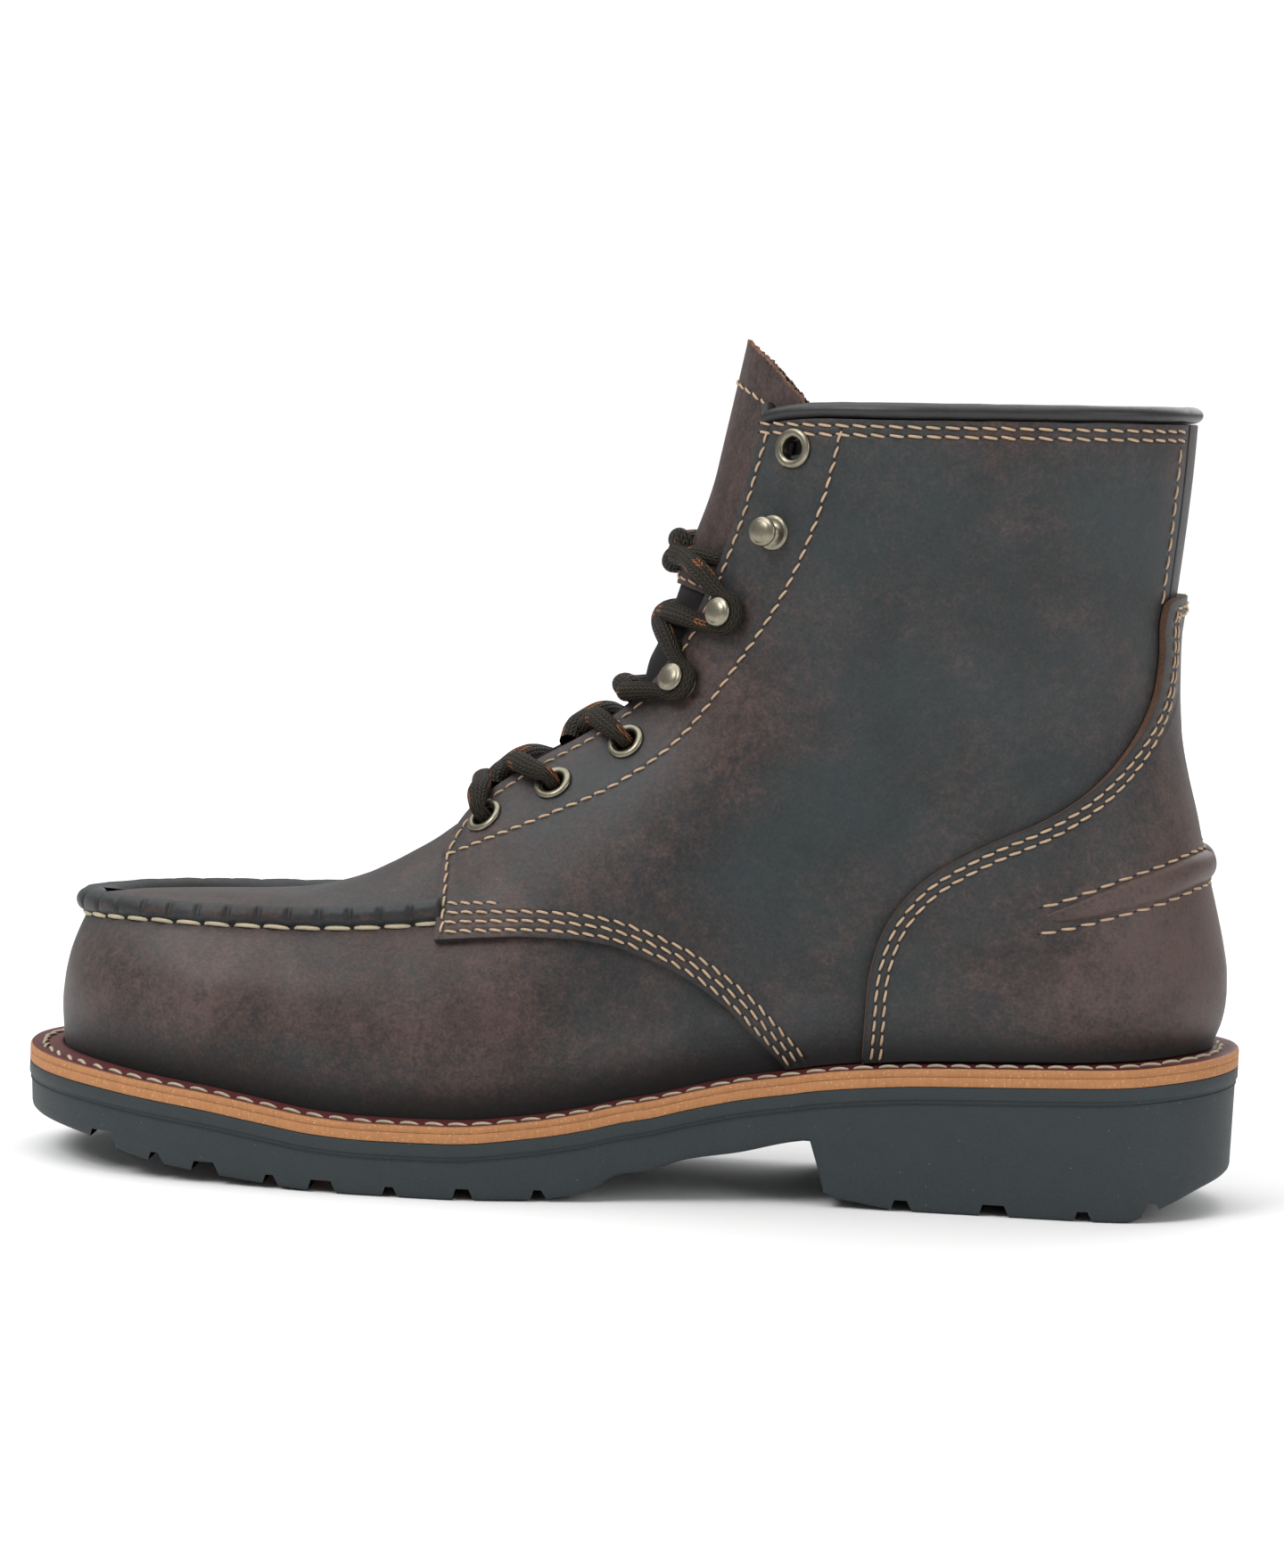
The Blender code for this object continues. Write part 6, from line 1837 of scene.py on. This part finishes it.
def make_outsole(last):
    """Moulded rubber unit: lip, mould line, skirt, lugs and heel breast."""
    top = last.midsole_bottom
    bottom = lambda x: last.sole_height(x, 1)
    insets = [(inset, lambda x, d=drop: top(x) - d * MM) for inset, drop in OUTSOLE_SIDE]
    for share in (0.25, 0.5, 0.75):
        insets.append((
            mixed(0.9, 1.2, share), lambda x, s=share: mixed(top(x) - 4.8 * MM, bottom(x) + 1.5 * MM, s)
        ))
    insets += [
        (1.2, lambda x: bottom(x) + 1.5 * MM), (1.4, lambda x: bottom(x) + 0.7 * MM),
        (1.9, lambda x: bottom(x) + 0.2 * MM), (2.7, bottom), (6.0, bottom),
    ]
    grid, faces = layer_grid(last, insets)
    piece = new_piece("outsole_skin", grid, faces, ["rubber"], None, 2e-6)
    cutter_points, cutter_faces = [], []
    for station, width, depth in NOTCHES:
        x = float(last.x_of(station))
        half = width * last.length / 2
        for side in SIDES:
            edge = float(last.axis_y(x) + side * (last.sole_half(x, side) + 0.006))
            deep = float(last.axis_y(x) + side * (last.sole_half(x, side) - NOTCH_REACH))
            low = -0.01
            high = float(last.sole_height(x, 1)) + depth * MM
            foot = high - depth * MM * 0.98
            first = len(cutter_points)
            for y in (edge, deep):
                cutter_points += [
                    (x - half - 0.004, y, low), (x + half + 0.004, y, low),
                    (x + half + 0.0006, y, foot), (x + half - 0.0008, y, high),
                    (x - half + 0.0004, y, high), (x - half - 0.0004, y, foot),
                ]
            near, far = list(range(first, first + 6)), list(range(first + 6, first + 12))
            if side == LATERAL:
                near, far = far, near
            cutter_faces.append(tuple(near))
            cutter_faces.append(tuple(reversed(far)))
            for k in range(6):
                after = (k + 1) % 6
                cutter_faces.append((near[after], near[k], far[k], far[after]))
    mesh = bpy.data.meshes.new("lug_cutter")
    mesh.from_pydata(cutter_points, [], cutter_faces)
    rework(mesh, face_outward)
    cutter = bpy.data.objects.new("lug_cutter", mesh)
    bpy.context.scene.collection.objects.link(cutter)
    modify(piece, "BOOLEAN", operation="DIFFERENCE", solver="EXACT", object=cutter)
    bpy.context.view_layer.update()
    graph = bpy.context.evaluated_depsgraph_get()
    made = bpy.data.meshes.new_from_object(piece.evaluated_get(graph))
    piece.modifiers.clear()
    piece.data = made
    bpy.data.objects.remove(cutter)
    made.shade_smooth()
    made.set_sharp_from_angle(angle=math.radians(32))
    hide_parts("outsole")


def make_seams(last):
    """All rows of bonded thread on the upper."""
    seams = Seams(last.size.thread)
    top = last.panel + 0.00002
    over = 2 * last.panel + 0.00002
    vamp = line_of(last, VAMP_SEAM[:VAMP_SHOWN])
    counter = line_of(last, COUNTER_EDGE)
    stay = dense(np.array(STAY_ROW) * MM)
    for side in SIDES:
        for distance in (1.6, 3.7, 5.8):
            row = offset_line(vamp, distance * MM)
            x, z = row.T
            row = row[(x > vamp[0, 0] + 1.2 * MM) & (z > last.panel_foot(x) + 0.3 * MM)]
            seams.sew(*route(last, row, side, top), 0.0039)
        short = offset_line(vamp, 7.9 * MM)
        short = short[(short[:, 0] > vamp[0, 0] + 1.6 * MM) & (short[:, 0] < vamp[0, 0] + 15 * MM)]
        seams.sew(*route(last, short, side, top), 0.0036)
        row = offset_line(counter, -2.2 * MM)
        row = row[row[:, 1] > last.panel_foot(row[:, 0]) + 0.5 * MM]
        points, normals = route(last, row, side, over)
        inward = unit(np.cross(normals, unit(np.gradient(points, axis=0)))) * side
        for step in (0.0, 2.2):
            seams.sew(points + inward * step * MM, normals, 0.0039, slant=0.5)
        seams.sew(*route(last, stay, side, top), 0.0038)
        columns = np.linspace(0.0, LAST_FACING, 200)
        x, z = last.shaft_point(columns, facing_share(columns), side)
        shares = np.linspace(float(facing_share(0.0)) - 0.01, 0.5, 40)
        front_x, front_z = last.shaft_point(np.zeros(40), shares, side)
        seam_z = along(VAMP_SEAM, last.station(front_x)) * last.height
        front = np.stack((front_x, front_z), -1)[front_z > seam_z + 1.2 * MM][::-1]
        outline = dense(np.concatenate((front, np.stack((x, z), -1)[2:])))
        row = offset_line(outline, -1.7 * MM)
        row = row[row[:, 1] < last.collar_z(row[:, 0]) - 1.6 * MM]
        seams.sew(*route(last, row, side, top), 0.0038)
        for drop in (1.6, 3.8):
            column = two_runs(LAST_FACING - 0.2, LAST_STRAIGHT, 1 - 0.44 / QUARTER_TURN, 120, 60)
            x, z = last.shaft_point(column, np.ones(column.shape), side)
            z = last.collar_z(x) - drop * MM
            points, normals = last.skin(x, z, side, top)
            seams.sew(points, normals, 0.0045)
        column = np.full(90, BACK_MIDDLE - (QUARTER_BACK_TURN + 0.09) / QUARTER_TURN)
        x, z = last.shaft_point(column, np.linspace(0.965, 0.60, 90), side)
        keep = z > 0.1520
        points, normals = last.skin(x, z, side, top)
        seams.sew(points[keep], normals[keep], 0.0044)
    for drop in (-4.9, 4.0):
        halves = []
        for side in SIDES:
            x, z, scale = kick_path(last, 80)
            z = z + drop * MM * (0.55 + 0.45 * scale)
            back = last.back_x(z)
            x = back - (back - last.x_of(KICK_END)) * (1 - np.cos(QUARTER_TURN * (1 - np.linspace(0, 1, 80))))
            halves.append(last.skin(x, z, sided(x.shape, side, -1), over))
        points, normals = joined_halves(halves)
        off_middle = np.abs(points[:, 1] - last.axis_y(points[:, 0])) > 2.5 * MM
        seams.sew(points[off_middle], normals[off_middle], 0.0050, gap=0.24, slant=0.8)
    for place in (TONGUE_COVER_START + 0.12, TONGUE[-1][0] - 0.62):
        rows = place + np.array((-0.02, 0.0, 0.02))
        grid = tongue_places(last, rows, np.linspace(-0.9, 0.9, 61), 0.00125)
        normal = unit(np.cross(np.gradient(grid[1], axis=0), grid[2] - grid[0]))
        normal *= np.sign(normal[:, :1] * -1)
        seams.sew(grid[1], normal, 0.0040)
    seams.make("seam_stitches", "thread", "upper_leather")


# Stay stitch behind the eyelets, in millimetres of the side view
STAY_ROW = (
    (-46.3, 80.1), (-32.9, 86.7), (-19.8, 93.0), (-4.6, 100.9), (10.3, 112.7), (24.7, 133.1), (34.9, 150.6),
    (42.7, 170.6), (46.0, 183.8), (47.5, 192.0),
)

CAMERA_PLACE = (0.0602, -1.1484, 0.197)
CAMERA_TARGET = (0.0, 0.0, 0.100)
CAMERA_ROLL = 2.5
PIXEL = 0.0002265
PHOTO_HEIGHT = 1759
SENSOR = 36.0


def make_camera():
    """Camera at the photograph's angle, rolled as it is."""
    place, target = Vector(CAMERA_PLACE), Vector(CAMERA_TARGET)
    forward = (target - place).normalized()
    right = forward.cross(Vector((0, 0, 1))).normalized()
    up = right.cross(forward)
    roll = math.radians(CAMERA_ROLL)
    turned_right = right * math.cos(roll) + up * math.sin(roll)
    turned_up = up * math.cos(roll) - right * math.sin(roll)
    data = bpy.data.cameras.new("camera")
    data.sensor_fit = "AUTO"
    data.sensor_width = SENSOR
    data.lens = SENSOR * (target - place).length / (PHOTO_HEIGHT * PIXEL)
    camera = bpy.data.objects.new("camera", data)
    camera.matrix_world = Matrix((
        (turned_right.x, turned_up.x, -forward.x, place.x),
        (turned_right.y, turned_up.y, -forward.y, place.y),
        (turned_right.z, turned_up.z, -forward.z, place.z),
        (0, 0, 0, 1),
    ))
    bpy.context.scene.collection.objects.link(camera)
    bpy.context.scene.camera = camera


# Lamps: place, size, strength in watts
LAMPS = (
    ("key", (-1.1, -1.2, 1.6), 0.9, 22.0),
    ("fill", (1.5, -1.2, 0.8), 1.0, 8.0),
    ("back", (0.8, 1.5, 1.1), 1.4, 14.0),
)
# Even light from above, in watts a square metre, and its soft angle in degrees
SKY = (1.9, 70.0)
SURROUND = 9.0
SURROUND_GLOW = 1.06
FLOOR_REACH = 2.0
WORLD_STRENGTH = 0.40
LAMP_TARGET = (0, 0, 0.08)


def make_studio():
    """Pale floor, soft lamps and an even white surround, which lights nothing."""
    floor_mesh = bpy.data.meshes.new("floor")
    corners = [(x * FLOOR_REACH, y * FLOOR_REACH, 0) for x, y in ((-1, -1), (1, -1), (1, 1), (-1, 1))]
    floor_mesh.from_pydata(corners, [], [(0, 1, 2, 3)])
    floor = bpy.data.objects.new("floor", floor_mesh)
    paper, _, shader, _ = new_material("matt_paper")
    wire(shader, {"Base Color": four(linear("#f6f6f6")), "Roughness": 0.95, "Specular IOR Level": 0.1})
    floor_mesh.materials.append(paper)
    dome_mesh = bpy.data.meshes.new("surround")
    rework(dome_mesh, lambda work: bmesh.ops.create_icosphere(work, subdivisions=4, radius=SURROUND))
    dome = bpy.data.objects.new("surround", dome_mesh)
    glow, _, shader, _ = new_material("lit_white_surround")
    wire(shader, {
        "Base Color": (0, 0, 0, 1), "Specular IOR Level": 0.0, "Emission Color": (1, 1, 1, 1),
        "Emission Strength": SURROUND_GLOW})
    dome_mesh.materials.append(glow)
    for flag in ("diffuse", "glossy", "transmission", "volume_scatter", "shadow"):
        setattr(dome, "visible_" + flag, False)
    for piece in (floor, dome):
        bpy.context.scene.collection.objects.link(piece)
    for name, place, size, strength in LAMPS:
        data = bpy.data.lights.new(name, "AREA")
        data.size = size
        data.energy = strength
        lamp = bpy.data.objects.new(name, data)
        lamp.location = place
        lamp.rotation_euler = (Vector(LAMP_TARGET) - Vector(place)).to_track_quat("-Z", "Y").to_euler()
        bpy.context.scene.collection.objects.link(lamp)
    sky = bpy.data.lights.new("sky", "SUN")
    sky.energy, sky.angle = SKY[0], math.radians(SKY[1])
    above = bpy.data.objects.new("sky", sky)
    above.rotation_euler = (math.radians(-8), math.radians(-14), 0)
    bpy.context.scene.collection.objects.link(above)
    world = bpy.data.worlds.new("studio")
    world.use_nodes = True
    wire(world.node_tree.nodes["Background"], {"Color": (1, 1, 1, 1), "Strength": WORLD_STRENGTH})
    bpy.context.scene.world = world
    bpy.context.scene.view_settings.view_transform = "Standard"


class BOOT_OT_stage(bpy.types.Operator):
    """Camera, lamps and floor"""

    bl_idname = "boot.stage"
    bl_label = "Stage"

    def execute(self, context):
        make_camera()
        make_studio()
        return {"FINISHED"}


class BOOT_OT_materials(bpy.types.Operator):
    """Leathers, thread, rubber, brass and lace"""

    bl_idname = "boot.materials"
    bl_label = "Materials"

    def execute(self, context):
        make_materials(context.scene.boot_colours)
        return {"FINISHED"}


class BOOT_OT_upper(bpy.types.Operator):
    """Vamp, plug, quarters, counter, backstay, kick, roll and binding"""

    bl_idname = "boot.upper"
    bl_label = "Upper"

    def execute(self, context):
        last = Last(context.scene.boot_sizes)
        for make in (
            make_upper, make_quarters, make_counter, make_backstay,
            make_kick, make_plug_roll, make_binding,
        ):
            make(last)
        return {"FINISHED"}


class BOOT_OT_sole(bpy.types.Operator):
    """Welt, midsole, insole and outsole"""

    bl_idname = "boot.sole"
    bl_label = "Sole"

    def execute(self, context):
        last = Last(context.scene.boot_sizes)
        for make in (make_welt, make_midsole, make_insole, make_outsole):
            make(last)
        return {"FINISHED"}


class BOOT_OT_lacing(bpy.types.Operator):
    """Tongue, eyelets, hooks and lace"""

    bl_idname = "boot.lacing"
    bl_label = "Lacing"

    def execute(self, context):
        last = Last(context.scene.boot_sizes)
        for make in (make_tongue, make_fittings, make_lace):
            make(last)
        return {"FINISHED"}


class BOOT_OT_seams(bpy.types.Operator):
    """Rows of stitches on the upper"""

    bl_idname = "boot.seams"
    bl_label = "Seams"

    def execute(self, context):
        make_seams(Last(context.scene.boot_sizes))
        return {"FINISHED"}


class BOOT_PT_panel(bpy.types.Panel):
    """Sizes, colours and steps of the boot"""

    bl_idname = "BOOT_PT_panel"
    bl_label = "Boot"
    bl_space_type = "VIEW_3D"
    bl_region_type = "UI"
    bl_category = "Boot"

    def draw(self, context):
        for group in (context.scene.boot_sizes, context.scene.boot_colours):
            for key in group.__annotations__:
                self.layout.prop(group, key)
        for name in STEPS:
            self.layout.operator("boot." + name)


STEPS = ("stage", "materials", "sole", "upper", "lacing", "seams")
CLASSES = (
    BootSizes, BootColours, BOOT_OT_stage, BOOT_OT_materials, BOOT_OT_upper, BOOT_OT_sole, BOOT_OT_lacing,
    BOOT_OT_seams, BOOT_PT_panel,
)


def register():
    for cls in CLASSES:
        bpy.utils.register_class(cls)
    bpy.types.Scene.boot_sizes = bpy.props.PointerProperty(type=BootSizes)
    bpy.types.Scene.boot_colours = bpy.props.PointerProperty(type=BootColours)


def unregister():
    del bpy.types.Scene.boot_sizes
    del bpy.types.Scene.boot_colours
    for cls in reversed(CLASSES):
        bpy.utils.unregister_class(cls)


def main():
    register()
    for name in STEPS:
        getattr(bpy.ops.boot, name)()


if __name__ == "__main__":
    main()
